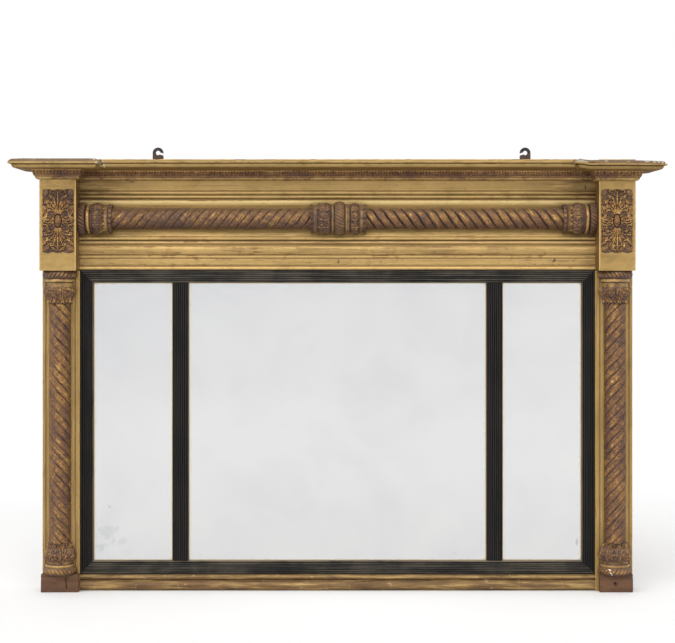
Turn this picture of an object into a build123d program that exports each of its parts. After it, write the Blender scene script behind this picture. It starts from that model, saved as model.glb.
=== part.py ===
"""Triple-plate overmantel mirror in gilt and ebonised wood.

Millimetres. +Z up, front faces -Y, X to the right seen from the front.
Origin: centre of the width, middle of the depth, underside of the base blocks.

Depths are given as "forward" distances from the front plane of the two
pilaster boards: fwd(0) is that plane, fwd(-45) is the back of the carcass and
fwd(95) the tip of the cornice over the piers.
"""
from build123d import *
import os

os.makedirs("parts", exist_ok=True)

# ------------------------------------------------------------------ sizes
BACK = -45.0            # back of the carcass, forward distance
BOARD_BACK = -12.0      # back of the pilaster boards
FRIEZE = -8.0           # plain face of the frieze
BLOCK_FRONT = 40.0      # face of the pier blocks
CORNICE_P = 55.0        # projection of the cornice from the face under it
TIP = BLOCK_FRONT + CORNICE_P
Y_SHIFT = (TIP + BACK) / 2.0          # puts Y = 0 at the middle of the depth

X_IN = 542.8            # inner face of stiles and pier blocks
X_OUT = 618.8           # outer face of stiles and pier blocks
BOARD_IN, BOARD_OUT = 541.5, 619.4

Z_TOP = 904.0           # top of the cornice
Z_DUST = 894.0          # underside of the dust board
Z_BED_TOP, Z_BED_BOT = 882.5, 862.0
Z_BLOCK = 673.0         # underside of the pier blocks
Z_SIGHT = 674.8         # top of the carcass opening
Z_RAIL = 33.0           # bottom of the carcass opening
Z_BASE = 38.0           # top of the base blocks

COL_X, COL_FWD, COL_R = 582.0, 2.0, 23.0      # pilaster columns
ORN_X = 579.8                                 # leafy panels on the piers
FCOL_Z, FCOL_FWD, FCOL_R = 782.0, -4.0, 22.5  # column lying in the frieze

SLIP_W = 27.0           # ebonised slips
REED = 4.5              # pitch of the reeds
SLIP_BACK, SLIP_BASE, SLIP_TOP = -19.5, -12.25, -10.0
DIV_X, DIV_W = 331.0, 34.4
MUNTIN_W = 16.0
GLASS_BACK, GLASS_FRONT = -23.5, -19.5
BOARDS_FRONT = -38.0    # front of the back boards
REB = 7.7               # rebate for the back boards

PLATE_W, PLATE_T, PLATE_Z0, PLATE_Z1 = 23.0, 2.5, 846.0, 934.6
EYE_Z, EYE_R = 923.1, 4.6
PLATE_X = (-381.6, 399.0)
SCREW_Z = (857.0, 879.0)


def fwd(z):
    """Y of a plane z millimetres in front of the pilaster boards."""
    return Y_SHIFT - z


def outline(points):
    """Closed outline from a list of corners and arcs, for BuildLine.
    (a, b) is a corner, (a, b, c, d) an arc through (a, b) to (c, d)."""
    here = points[0]
    for step in points[1:] + [points[0]]:
        if len(step) == 2:
            if abs(step[0] - here[0]) + abs(step[1] - here[1]) > 1e-6:
                Line(here, step)
            here = step
        else:
            ThreePointArc(here, step[:2], step[2:])
            here = step[2:]


def yz(points):
    """(forward, Z) outline to (Y, Z)."""
    out = []
    for p in points:
        if len(p) == 2:
            out.append((fwd(p[0]), p[1]))
        else:
            out.append((fwd(p[0]), p[1], fwd(p[2]), p[3]))
    return out


def xy(points):
    """(X, forward) outline to (X, Y)."""
    return [(p[0], fwd(p[1])) for p in points]


def save(builder, name):
    builder.part.label = name
    export_step(builder.part, f"parts/{name}.step")


# -------------------------------------------------- nails and screws layout
NAIL_R, NAIL_LEN = 1.0, 13.0
side_nails = [(s * 546.6, z) for s in (-1, 1) for z in (60, 178, 296, 414, 532, 650)]
muntin_nails = [(s * (DIV_X + d), z) for s in (-1, 1) for d in (-4, 4)
                for z in (60, 208, 356, 504, 650)]
rail_nails = [(x, z) for z in (29.0, 678.6)
              for x in (-495, -385, -265, -130, 0, 130, 265, 385, 495)]
nails = side_nails + muntin_nails + rail_nails
screws = [(x, z) for x in PLATE_X for z in SCREW_Z]

# ------------------------------------------------------------- the carcass
# Stile: full-height pine post with a rebate for the back boards and two
# mortises for the tenons of the rails.
TENON = 45.0
with BuildPart() as stile_right:
    with BuildSketch(Plane.XY):
        with BuildLine():
            outline(xy([(X_IN, BOARD_BACK), (X_OUT, BOARD_BACK), (X_OUT, BACK), (X_IN, BACK)]))
        make_face()
    extrude(amount=Z_DUST)
    with BuildSketch(Plane.XY.offset(Z_RAIL - 8)):
        with BuildLine():
            outline(xy([(X_IN, BOARDS_FRONT), (X_IN + REB, BOARDS_FRONT),
                        (X_IN + REB, BACK), (X_IN, BACK)]))
        make_face()
    extrude(amount=(Z_SIGHT + REB) - (Z_RAIL - 8), mode=Mode.SUBTRACT)
    with Locations((X_IN + TENON / 2, fwd(-34), 790)):
        Box(TENON, 8, 180, mode=Mode.SUBTRACT)
    with Locations((X_IN + TENON / 2, fwd(-27), 14)):
        Box(TENON, 10, 16, mode=Mode.SUBTRACT)
    with Locations(*[(x, fwd(BOARDS_FRONT + 3), z) for x, z in side_nails if x > 0]):
        Cylinder(NAIL_R, 6, rotation=(90, 0, 0), mode=Mode.SUBTRACT)
save(stile_right, "stile_right")

with BuildPart() as stile_left:
    mirror(stile_right.part, about=Plane.YZ)
save(stile_left, "stile_left")

# Head rail: wide pine rail behind the frieze, tenoned into both stiles.
with BuildPart() as head_rail:
    with BuildSketch(Plane.YZ.offset(-X_IN)):
        with BuildLine():
            outline(yz([(-28, Z_SIGHT), (-28, Z_DUST), (BACK, Z_DUST), (BACK, Z_SIGHT + REB),
                        (BOARDS_FRONT, Z_SIGHT + REB), (BOARDS_FRONT, Z_SIGHT)]))
        make_face()
    extrude(amount=2 * X_IN)
    with Locations((0, fwd(-34), 790)):
        Box(2 * (X_IN + TENON), 8, 180)
    # stub mortises for the muntins
    with Locations((-DIV_X, fwd(-33), Z_SIGHT + 5), (DIV_X, fwd(-33), Z_SIGHT + 5)):
        Box(MUNTIN_W - 4, 4, 10, mode=Mode.SUBTRACT)
    # the two hanging plates are let in flush with the back
    for px in PLATE_X:
        with Locations((px, fwd(BACK + PLATE_T / 2), (PLATE_Z0 + Z_DUST) / 2)):
            Box(PLATE_W, PLATE_T, Z_DUST - PLATE_Z0, mode=Mode.SUBTRACT)
    with Locations(*[(x, fwd(BACK + PLATE_T + 6), z) for x, z in screws]):
        Cylinder(1.9, 12, rotation=(90, 0, 0), mode=Mode.SUBTRACT)
    with Locations(*[(x, fwd(BOARDS_FRONT + 3), z) for x, z in rail_nails if z > 300]):
        Cylinder(NAIL_R, 6, rotation=(90, 0, 0), mode=Mode.SUBTRACT)
save(head_rail, "head_rail")

# Bottom rail: carries the glass, tenoned into both stiles.
with BuildPart() as bottom_rail:
    with BuildSketch(Plane.YZ.offset(-X_IN)):
        with BuildLine():
            outline(yz([(BOARD_BACK, 1), (BOARD_BACK, Z_RAIL), (BOARDS_FRONT, Z_RAIL),
                        (BOARDS_FRONT, Z_RAIL - 8), (BACK, Z_RAIL - 8), (BACK, 1)]))
        make_face()
    extrude(amount=2 * X_IN)
    with Locations((0, fwd(-27), 14)):
        Box(2 * (X_IN + TENON), 10, 16)
    with Locations((-DIV_X, fwd(-33), Z_RAIL - 5), (DIV_X, fwd(-33), Z_RAIL - 5)):
        Box(MUNTIN_W - 4, 4, 10, mode=Mode.SUBTRACT)
    with Locations(*[(x, fwd(BOARDS_FRONT + 3), z) for x, z in rail_nails if z < 300]):
        Cylinder(NAIL_R, 6, rotation=(90, 0, 0), mode=Mode.SUBTRACT)
save(bottom_rail, "bottom_rail")

# Muntins: narrow posts between the plates, stub-tenoned into the rails.
with BuildPart() as muntin_right:
    with Locations((DIV_X, fwd((BOARDS_FRONT + GLASS_FRONT) / 2), (Z_RAIL + Z_SIGHT) / 2)):
        Box(MUNTIN_W, GLASS_FRONT - BOARDS_FRONT, Z_SIGHT - Z_RAIL)
    with Locations((DIV_X, fwd(-33), (Z_RAIL + Z_SIGHT) / 2)):
        Box(MUNTIN_W - 4, 4, Z_SIGHT - Z_RAIL + 20)
    with Locations(*[(x, fwd(BOARDS_FRONT + 3), z) for x, z in muntin_nails if x > 0]):
        Cylinder(NAIL_R, 6, rotation=(90, 0, 0), mode=Mode.SUBTRACT)
save(muntin_right, "muntin_right")

with BuildPart() as muntin_left:
    mirror(muntin_right.part, about=Plane.YZ)
save(muntin_left, "muntin_left")

# Dust board on top of the carcass, behind the cornice.
with BuildPart() as dust_board:
    with BuildSketch(Plane.XY.offset(Z_DUST)):
        with BuildLine():
            outline(xy([(-X_OUT, BACK), (X_OUT, BACK), (X_OUT, BOARD_BACK), (X_IN, BOARD_BACK),
                        (X_IN, FRIEZE), (-X_IN, FRIEZE), (-X_IN, BOARD_BACK), (-X_OUT, BOARD_BACK)]))
        make_face()
    extrude(amount=Z_TOP - Z_DUST)
    for px in PLATE_X:
        with Locations((px, fwd(BACK + PLATE_T / 2), (Z_TOP + Z_DUST) / 2)):
            Box(PLATE_W, PLATE_T, Z_TOP - Z_DUST, mode=Mode.SUBTRACT)
save(dust_board, "dust_board")

# ------------------------------------------------- pilasters and their piers
with BuildPart() as pilaster_board_right:
    with BuildSketch(Plane.XY):
        with BuildLine():
            outline(xy([(BOARD_IN, 0), (BOARD_OUT, 0), (BOARD_OUT, BOARD_BACK), (BOARD_IN, BOARD_BACK)]))
        make_face()
    extrude(amount=Z_BLOCK)
save(pilaster_board_right, "pilaster_board_right")

with BuildPart() as pilaster_board_left:
    mirror(pilaster_board_right.part, about=Plane.YZ)
save(pilaster_board_left, "pilaster_board_left")

with BuildPart() as pier_block_right:
    with BuildSketch(Plane.XY.offset(Z_BLOCK)):
        with BuildLine():
            outline(xy([(X_IN, BLOCK_FRONT), (X_OUT, BLOCK_FRONT), (X_OUT, BOARD_BACK), (X_IN, BOARD_BACK)]))
        make_face()
    extrude(amount=Z_TOP - Z_BLOCK)
    edge = pier_block_right.edges().filter_by(Axis.X).group_by(Axis.Z)[0].sort_by(Axis.Y)[0]
    chamfer(edge, 0.8)
save(pier_block_right, "pier_block_right")

with BuildPart() as pier_block_left:
    mirror(pier_block_right.part, about=Plane.YZ)
save(pier_block_left, "pier_block_left")

# Rectangular ornament on the face of each pier block, with an oval boss.
ORN_W, ORN_H, ORN_T, ORN_Z = 65.0, 132.0, 5.0, 776.0
with BuildPart() as pier_ornament_right:
    with BuildSketch(Plane.XZ.offset(-fwd(BLOCK_FRONT))):
        with Locations((ORN_X, ORN_Z)):
            RectangleRounded(ORN_W, ORN_H, 4)
    extrude(amount=ORN_T)
    with BuildSketch(Plane.XZ.offset(-fwd(BLOCK_FRONT + ORN_T))):
        with Locations((ORN_X, ORN_Z)):
            Ellipse(8, 13)
    extrude(amount=3.0)
save(pier_ornament_right, "pier_ornament_right")

with BuildPart() as pier_ornament_left:
    mirror(pier_ornament_right.part, about=Plane.YZ)
save(pier_ornament_left, "pier_ornament_left")

# Pilaster column: split-turned shaft with a turned neck at each end. The
# back is sawn flat and glued to the board. The core runs on at 21 mm radius
# under the applied collars and rings.
CORE = 21.0
CAP_RING, CAP_NECK, CAP_LEAF = (656.0, 673.0), (639.0, 656.0), (603.0, 639.0)
BASE_LEAF, BASE_NECK, BASE_RING = (66.0, 103.6), (53.0, 66.0), (38.0, 53.0)
with BuildPart() as column_right:
    with BuildSketch(Plane.XZ.offset(-fwd(COL_FWD))):
        with BuildLine():
            outline([(COL_X, BASE_RING[0]), (COL_X + CORE, BASE_RING[0]), (COL_X + CORE, BASE_RING[1]),
                     (COL_X + 30, BASE_NECK[0]), (COL_X + 31.2, 56, COL_X + 30, 59), (COL_X + 27.5, 60),
                     (COL_X + 27.5, BASE_NECK[1]), (COL_X + CORE, BASE_NECK[1]),
                     (COL_X + CORE, BASE_LEAF[1]), (COL_X + COL_R, BASE_LEAF[1]),
                     (COL_X + COL_R, CAP_LEAF[0]), (COL_X + CORE, CAP_LEAF[0]),
                     (COL_X + CORE, CAP_LEAF[1]), (COL_X + 27.5, CAP_NECK[0]), (COL_X + 27.5, 648),
                     (COL_X + 30, 649), (COL_X + 31.2, 652.5, COL_X + 30, 656),
                     (COL_X + CORE, CAP_NECK[1]), (COL_X + CORE, CAP_RING[1]), (COL_X, CAP_RING[1])])
        make_face()
    revolve(axis=Axis((COL_X, fwd(COL_FWD), 0), (0, 0, 1)))
    split(bisect_by=Plane.XZ.offset(-fwd(0)), keep=Keep.TOP)
save(column_right, "column_right")

with BuildPart() as column_left:
    mirror(column_right.part, about=Plane.YZ)
save(column_left, "column_left")

# Spiral ring under the pier block.
with BuildPart() as capital_ring_right:
    with BuildSketch(Plane.XZ.offset(-fwd(COL_FWD))):
        with BuildLine():
            outline([(COL_X + CORE, CAP_RING[0]), (COL_X + 32, CAP_RING[0]),
                     (COL_X + 37, 664.5, COL_X + 32, CAP_RING[1]), (COL_X + CORE, CAP_RING[1])])
        make_face()
    revolve(axis=Axis((COL_X, fwd(COL_FWD), 0), (0, 0, 1)))
    split(bisect_by=Plane.XZ.offset(-fwd(0)), keep=Keep.TOP)
save(capital_ring_right, "capital_ring_right")

with BuildPart() as capital_ring_left:
    mirror(capital_ring_right.part, about=Plane.YZ)
save(capital_ring_left, "capital_ring_left")

# Leafy collar at the top of the shaft, its foot scalloped.
with BuildPart() as capital_collar_right:
    with BuildSketch(Plane.XZ.offset(-fwd(COL_FWD))):
        with BuildLine():
            outline([(COL_X + CORE, CAP_LEAF[0]), (COL_X + 29, CAP_LEAF[0]),
                     (COL_X + 27.5, 612, COL_X + 31, 619), (COL_X + 35, 630, COL_X + 33, CAP_LEAF[1]),
                     (COL_X + CORE, CAP_LEAF[1])])
        make_face()
    revolve(axis=Axis((COL_X, fwd(COL_FWD), 0), (0, 0, 1)))
    split(bisect_by=Plane.XZ.offset(-fwd(0)), keep=Keep.TOP)
save(capital_collar_right, "capital_collar_right")

with BuildPart() as capital_collar_left:
    mirror(capital_collar_right.part, about=Plane.YZ)
save(capital_collar_left, "capital_collar_left")

# Leafy collar at the foot of the shaft.
with BuildPart() as base_collar_right:
    with BuildSketch(Plane.XZ.offset(-fwd(COL_FWD))):
        with BuildLine():
            outline([(COL_X + CORE, BASE_LEAF[0]), (COL_X + 33, BASE_LEAF[0]),
                     (COL_X + 35.5, 78, COL_X + 32, 90), (COL_X + 28.5, 96, COL_X + 29.5, BASE_LEAF[1]),
                     (COL_X + CORE, BASE_LEAF[1])])
        make_face()
    revolve(axis=Axis((COL_X, fwd(COL_FWD), 0), (0, 0, 1)))
    split(bisect_by=Plane.XZ.offset(-fwd(0)), keep=Keep.TOP)
save(base_collar_right, "base_collar_right")

with BuildPart() as base_collar_left:
    mirror(base_collar_right.part, about=Plane.YZ)
save(base_collar_left, "base_collar_left")

# Spiral ring on the base block.
with BuildPart() as base_ring_right:
    with BuildSketch(Plane.XZ.offset(-fwd(COL_FWD))):
        with BuildLine():
            outline([(COL_X + CORE, BASE_RING[0]), (COL_X + 31.5, BASE_RING[0]),
                     (COL_X + 36.5, 45.5, COL_X + 31.5, BASE_RING[1]), (COL_X + CORE, BASE_RING[1])])
        make_face()
    revolve(axis=Axis((COL_X, fwd(COL_FWD), 0), (0, 0, 1)))
    split(bisect_by=Plane.XZ.offset(-fwd(0)), keep=Keep.TOP)
save(base_ring_right, "base_ring_right")

with BuildPart() as base_ring_left:
    mirror(base_ring_right.part, about=Plane.YZ)
save(base_ring_left, "base_ring_left")

# Bare base blocks planted on the feet of the boards. The right one is a
# little narrower than the left one.
with BuildPart() as base_block_left:
    with BuildSketch(Plane.XY):
        with BuildLine():
            outline(xy([(-620.5, 15), (-BOARD_IN, 15), (-BOARD_IN, 0), (-620.5, 0)]))
        make_face()
    extrude(amount=Z_BASE)
    chamfer(base_block_left.edges().filter_by(Axis.Z).sort_by(Axis.Y)[0:2], 1.5)
save(base_block_left, "base_block_left")

with BuildPart() as base_block_right:
    with BuildSketch(Plane.XY):
        with BuildLine():
            outline(xy([(548.4, 15), (618.0, 15), (618.0, 0), (548.4, 0)]))
        make_face()
    extrude(amount=Z_BASE)
    chamfer(base_block_right.edges().filter_by(Axis.Z).sort_by(Axis.Y)[0:2], 1.5)
    # old nail hole in the face
    with Locations((580.6, fwd(15 - 3), 19.0)):
        Cylinder(2.0, 6, rotation=(90, 0, 0), mode=Mode.SUBTRACT)
save(base_block_right, "base_block_right")

# --------------------------------------------------------------- the frieze
FB = -28.0      # back of the frieze mouldings, face of the head rail
HOLLOW = (745.0, 820.0, -16.0)
with BuildPart() as frieze_upper_moulding:
    with BuildSketch(Plane.YZ.offset(-X_IN)):
        with BuildLine():
            outline(yz([(FB, Z_DUST), (FRIEZE, Z_DUST), (FRIEZE, 841.6), (-9.2, 841.0),
                        (-6.2, 836.8, -9.0, 832.6), (-9.4, 832.0), (-6.4, 828.0, -9.6, 824.2),
                        (-11.2, 823.7), (-11.2, 820.5), (FB, 820.5)]))
        make_face()
    extrude(amount=2 * X_IN)
save(frieze_upper_moulding, "frieze_upper_moulding")

with BuildPart() as frieze_hollow_board:
    with BuildSketch(Plane.YZ.offset(-X_IN)):
        with BuildLine():
            outline(yz([(FB, 820.5), (-9, 820.5), (-8.2, HOLLOW[1]),
                        (HOLLOW[2], 782.5, -8.2, HOLLOW[0]), (-9, 744.5), (FB, 744.5)]))
        make_face()
    extrude(amount=2 * X_IN)
save(frieze_hollow_board, "frieze_hollow_board")

with BuildPart() as frieze_lower_moulding:
    with BuildSketch(Plane.YZ.offset(-X_IN)):
        with BuildLine():
            outline(yz([(FB, 744.5), (-9.5, 744.5), (-6.3, 740.9, -9.5, 737.2),
                        (-11.6, 736.7), (-11.6, 734.6), (-9.6, 734.2), (-9.4, 729.0),
                        (-2.0, 717.2, -9.0, 705.2), (-7.0, 704.6), (-7.0, 700.2),
                        (-9.2, 699.6), (-9.2, 698.4), (-8.5, 698.0), (-8.5, 685.4), (-10.4, 684.9),
                        (-10.4, 682.5), (FB, 682.5)]))
        make_face()
    extrude(amount=2 * X_IN)
save(frieze_lower_moulding, "frieze_lower_moulding")

with BuildPart() as sight_bead:
    with BuildSketch(Plane.YZ.offset(-X_IN)):
        with BuildLine():
            outline(yz([(FB, 682.5), (-10.4, 682.5), (-10.0, 682.0), (-6.0, 678.4, -9.5, 675.0),
                        (-10.5, Z_SIGHT), (FB, Z_SIGHT)]))
        make_face()
    extrude(amount=2 * X_IN)
save(sight_bead, "sight_bead")

# Lying rope column in two lengths, meeting leafy collars at the piers and in
# the middle. All of it is hollowed at the back to sit in the frieze.
FX = dict(end_ring=(X_IN - 16.5, X_IN), end_leaf=(472.5, X_IN - 16.5), shaft=(64.0, 472.5),
          centre=(7.5, 64.0), disc=(-6.5, 15.0))


def fcol(points):
    """(X, radius) outline to (X, Y) in the plane of the lying column's axis."""
    out = []
    for p in points:
        if len(p) == 2:
            out.append((p[0], fwd(FCOL_FWD + p[1])))
        else:
            out.append((p[0], fwd(FCOL_FWD + p[1]), p[2], fwd(FCOL_FWD + p[3])))
    return out


FCOL_AXIS = Axis((0, fwd(FCOL_FWD), FCOL_Z), (1, 0, 0))
FCOL_PLANE = Plane.XY.offset(FCOL_Z)
HOLLOW_CUT = Plane.XZ.offset(-fwd(-23.9))
FCORE = 18.0

with BuildPart() as frieze_column_right:
    with BuildSketch(FCOL_PLANE):
        with BuildLine():
            outline(fcol([(4.3, 0), (4.3, FCORE), (60.3, FCORE), (60.3, FCOL_R), (472.5, FCOL_R),
                          (472.5, FCORE), (X_IN, FCORE), (X_IN, 0)]))
        make_face()
    revolve(axis=FCOL_AXIS)
    split(bisect_by=HOLLOW_CUT, keep=Keep.TOP)
    add(frieze_hollow_board.part, mode=Mode.SUBTRACT)
save(frieze_column_right, "frieze_column_right")

with BuildPart() as frieze_column_left:
    with BuildSketch(FCOL_PLANE):
        with BuildLine():
            outline(fcol([(4.3, 0), (4.3, FCORE), (-56.5, FCORE), (-56.5, FCOL_R), (-472.5, FCOL_R),
                          (-472.5, FCORE), (-X_IN, FCORE), (-X_IN, 0)]))
        make_face()
    revolve(axis=FCOL_AXIS)
    split(bisect_by=HOLLOW_CUT, keep=Keep.TOP)
    add(frieze_hollow_board.part, mode=Mode.SUBTRACT)
save(frieze_column_left, "frieze_column_left")

with BuildPart() as frieze_end_collar_right:
    with BuildSketch(FCOL_PLANE):
        with BuildLine():
            outline(fcol([(472.5, FCORE), (472.5, 30), (477, 31), (484, 28), (490, 27.5), (496, 32),
                          (504, 34, 512, 32.5), (518, 29), (522, 31.5, 526, 29.5), (529, 32.5),
                          (535.5, 34.2, X_IN, 32), (X_IN, FCORE)]))
        make_face()
    revolve(axis=FCOL_AXIS)
    split(bisect_by=HOLLOW_CUT, keep=Keep.TOP)
    add(frieze_hollow_board.part, mode=Mode.SUBTRACT)
save(frieze_end_collar_right, "frieze_end_collar_right")

with BuildPart() as frieze_end_collar_left:
    mirror(frieze_end_collar_right.part, about=Plane.YZ)
save(frieze_end_collar_left, "frieze_end_collar_left")

with BuildPart() as frieze_centre_collar_right:
    with BuildSketch(FCOL_PLANE):
        with BuildLine():
            outline(fcol([(15.0, FCORE), (15.0, 29.5), (20, 31.5, 25.5, 29.5), (29, 32),
                          (36, 34, 43, 32), (49, 28), (55, 28.5), (60.3, 31.5), (60.3, FCORE)]))
        make_face()
    revolve(axis=FCOL_AXIS)
    split(bisect_by=HOLLOW_CUT, keep=Keep.TOP)
    add(frieze_hollow_board.part, mode=Mode.SUBTRACT)
save(frieze_centre_collar_right, "frieze_centre_collar_right")

with BuildPart() as frieze_centre_collar_left:
    with BuildSketch(FCOL_PLANE):
        with BuildLine():
            outline(fcol([(-6.5, FCORE), (-6.5, 29.5), (-9.5, 31.2, -13, 29.5), (-16, 32),
                          (-27, 34, -40, 32), (-45, 28), (-51, 28.5), (-56.5, 31.5), (-56.5, FCORE)]))
        make_face()
    revolve(axis=FCOL_AXIS)
    split(bisect_by=HOLLOW_CUT, keep=Keep.TOP)
    add(frieze_hollow_board.part, mode=Mode.SUBTRACT)
save(frieze_centre_collar_left, "frieze_centre_collar_left")

with BuildPart() as frieze_centre_disc:
    with BuildSketch(FCOL_PLANE):
        with BuildLine():
            outline(fcol([(-6.5, FCORE), (-6.5, 32.5), (4.3, 36.5, 15.0, 32.5), (15.0, FCORE)]))
        make_face()
    revolve(axis=FCOL_AXIS)
    split(bisect_by=HOLLOW_CUT, keep=Keep.TOP)
    add(frieze_hollow_board.part, mode=Mode.SUBTRACT)
save(frieze_centre_disc, "frieze_centre_disc")

# -------------------------------------------------------------- the cornice
def cornice_section(face):
    return [(face, Z_BED_TOP), (face + 13, Z_BED_TOP), (face + 27, 884.5), (face + 41, 887.0),
            (face + 46.9, 889.6, face + 48.6, 895.0), (face + 47.4, 895.4), (face + 47.4, 896.4),
            (face + CORNICE_P, 896.9), (face + CORNICE_P, Z_TOP), (face, Z_TOP)]


def pier_section(face):
    """Over the piers the ovolo sits lower, under a thicker nosing whose top
    is weathered to a slope."""
    return [(face, Z_BED_TOP), (face + 13, Z_BED_TOP), (face + 36, 882.7), (face + 41, 883.6),
            (face + 47.0, 885.8, face + 48.6, 890.4), (face + 47.4, 890.8), (face + 47.4, 892.0),
            (face + 54.4, 892.5), (face + CORNICE_P, 893.3), (face + CORNICE_P, 896.0),
            (face + 51.0, 900.4, face + 43.0, 902.6), (face + 30, Z_TOP), (face, Z_TOP)]


def bed_section(face):
    return [(face, Z_BED_BOT), (face + 1.2, Z_BED_BOT), (face + 6.4, 864.8, face + 8.0, 869.0),
            (face + 9.4, 869.4), (face + 12.0, 875.6, face + 13.0, Z_BED_TOP), (face, Z_BED_TOP)]


C = CORNICE_P
plan_centre = [(-X_IN, FRIEZE), (-X_IN + C, FRIEZE + C), (X_IN - C, FRIEZE + C), (X_IN, FRIEZE)]
plan_inner = [(X_IN, FRIEZE), (X_IN - C, FRIEZE + C), (X_IN - C, TIP), (X_IN, BLOCK_FRONT)]
plan_front = [(X_IN, BLOCK_FRONT), (X_IN - C, TIP), (X_OUT + C, TIP), (X_OUT, BLOCK_FRONT)]
plan_outer = [(X_OUT, BLOCK_FRONT), (X_OUT + C, TIP), (X_OUT + C, BACK), (X_OUT, BACK)]

with BuildPart() as cornice_centre:
    with BuildSketch(Plane.YZ.offset(-X_IN)):
        with BuildLine():
            outline(yz(cornice_section(FRIEZE)))
        make_face()
    extrude(amount=2 * X_IN)
    with BuildSketch(Plane.XY.offset(Z_BED_BOT)):
        with BuildLine():
            outline(xy(plan_centre))
        make_face()
    extrude(amount=60, mode=Mode.INTERSECT)
save(cornice_centre, "cornice_centre")

with BuildPart() as bed_mould_centre:
    with BuildSketch(Plane.YZ.offset(-X_IN)):
        with BuildLine():
            outline(yz(bed_section(FRIEZE)))
        make_face()
    extrude(amount=2 * X_IN)
    with BuildSketch(Plane.XY.offset(Z_BED_BOT)):
        with BuildLine():
            outline(xy(plan_centre))
        make_face()
    extrude(amount=60, mode=Mode.INTERSECT)
save(bed_mould_centre, "bed_mould_centre")

# Each pier carries three mitred lengths: inner return, front, outer return.
with BuildPart() as cornice_front_right:
    with BuildSketch(Plane.YZ.offset(X_IN - C)):
        with BuildLine():
            outline(yz(pier_section(BLOCK_FRONT)))
        make_face()
    extrude(amount=X_OUT - X_IN + 2 * C)
    with BuildSketch(Plane.XY.offset(Z_BED_BOT)):
        with BuildLine():
            outline(xy(plan_front))
        make_face()
    extrude(amount=60, mode=Mode.INTERSECT)

with BuildPart() as cornice_inner_right:
    with BuildSketch(Plane.XZ.offset(-fwd(FRIEZE))):
        with BuildLine():
            outline([(X_IN - p[0], *p[1:]) if len(p) == 2 else (X_IN - p[0], p[1], X_IN - p[2], p[3])
                     for p in pier_section(0)])
        make_face()
    extrude(amount=TIP - FRIEZE)
    with BuildSketch(Plane.XY.offset(Z_BED_BOT)):
        with BuildLine():
            outline(xy(plan_inner))
        make_face()
    extrude(amount=60, mode=Mode.INTERSECT)

with BuildPart() as cornice_outer_right:
    with BuildSketch(Plane.XZ.offset(-fwd(BACK))):
        with BuildLine():
            outline([(X_OUT + p[0], *p[1:]) if len(p) == 2 else (X_OUT + p[0], p[1], X_OUT + p[2], p[3])
                     for p in pier_section(0)])
        make_face()
    extrude(amount=TIP - BACK)
    with BuildSketch(Plane.XY.offset(Z_BED_BOT)):
        with BuildLine():
            outline(xy(plan_outer))
        make_face()
    extrude(amount=60, mode=Mode.INTERSECT)

with BuildPart() as bed_front_right:
    with BuildSketch(Plane.YZ.offset(X_IN - C)):
        with BuildLine():
            outline(yz(bed_section(BLOCK_FRONT)))
        make_face()
    extrude(amount=X_OUT - X_IN + 2 * C)
    with BuildSketch(Plane.XY.offset(Z_BED_BOT)):
        with BuildLine():
            outline(xy(plan_front))
        make_face()
    extrude(amount=60, mode=Mode.INTERSECT)

with BuildPart() as bed_inner_right:
    with BuildSketch(Plane.XZ.offset(-fwd(FRIEZE))):
        with BuildLine():
            outline([(X_IN - p[0], *p[1:]) if len(p) == 2 else (X_IN - p[0], p[1], X_IN - p[2], p[3])
                     for p in bed_section(0)])
        make_face()
    extrude(amount=TIP - FRIEZE)
    with BuildSketch(Plane.XY.offset(Z_BED_BOT)):
        with BuildLine():
            outline(xy(plan_inner))
        make_face()
    extrude(amount=60, mode=Mode.INTERSECT)

with BuildPart() as bed_outer_right:
    with BuildSketch(Plane.XZ.offset(-fwd(BACK))):
        with BuildLine():
            outline([(X_OUT + p[0], *p[1:]) if len(p) == 2 else (X_OUT + p[0], p[1], X_OUT + p[2], p[3])
                     for p in bed_section(0)])
        make_face()
    extrude(amount=TIP - BACK)
    with BuildSketch(Plane.XY.offset(Z_BED_BOT)):
        with BuildLine():
            outline(xy(plan_outer))
        make_face()
    extrude(amount=60, mode=Mode.INTERSECT)

cornice_lengths = [cornice_inner_right.part, cornice_front_right.part, cornice_outer_right.part]
bed_lengths = [bed_inner_right.part, bed_front_right.part, bed_outer_right.part]
for group, right, left in ((cornice_lengths, "cornice_pier_right", "cornice_pier_left"),
                           (bed_lengths, "bed_mould_pier_right", "bed_mould_pier_left")):
    solids = [s for part in group for s in part.solids()]
    whole = Compound(label=right, children=solids)
    export_step(whole, f"parts/{right}.step")
    other = Compound(label=left, children=[s.mirror(Plane.YZ) for s in solids])
    export_step(other, f"parts/{left}.step")

# ---------------------------------------------------------- the mirror field
# Gilt moulding along the bottom rail: a bead over a larger half round.
with BuildPart() as bottom_rail_moulding:
    with BuildSketch(Plane.YZ.offset(-BOARD_IN)):
        with BuildLine():
            outline(yz([(BOARD_BACK, Z_RAIL), (-9, Z_RAIL), (-4.4, 28.3, -9, 23.6), (-10.5, 23.2),
                        (-10.5, 22.6), (-9, 22.2), (1.2, 11.6, -8.6, 1.0), (BOARD_BACK, 1.0)]))
        make_face()
    extrude(amount=2 * BOARD_IN)
save(bottom_rail_moulding, "bottom_rail_moulding")


def reeded(outer, direction):
    """Section of a slip: five reeds, then a plain lip at the glass."""
    s = direction
    pts = [(outer + s * -1.3, SLIP_BACK), (outer + s * -1.3, SLIP_BASE + 0.25), (outer, SLIP_BASE + 0.25),
           (outer, SLIP_BASE)]
    for k in range(5):
        a = outer + s * REED * k
        pts.append((a + s * REED / 2, SLIP_TOP, a + s * REED, SLIP_BASE))
    lip = outer + s * 5 * REED
    pts += [(lip + s * 0.4, -13.2), (lip + s * 0.9, -11.6), (lip + s * 3.2, -11.6),
            (outer + s * SLIP_W, -13.6), (outer + s * SLIP_W, SLIP_BACK)]
    return pts


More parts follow.
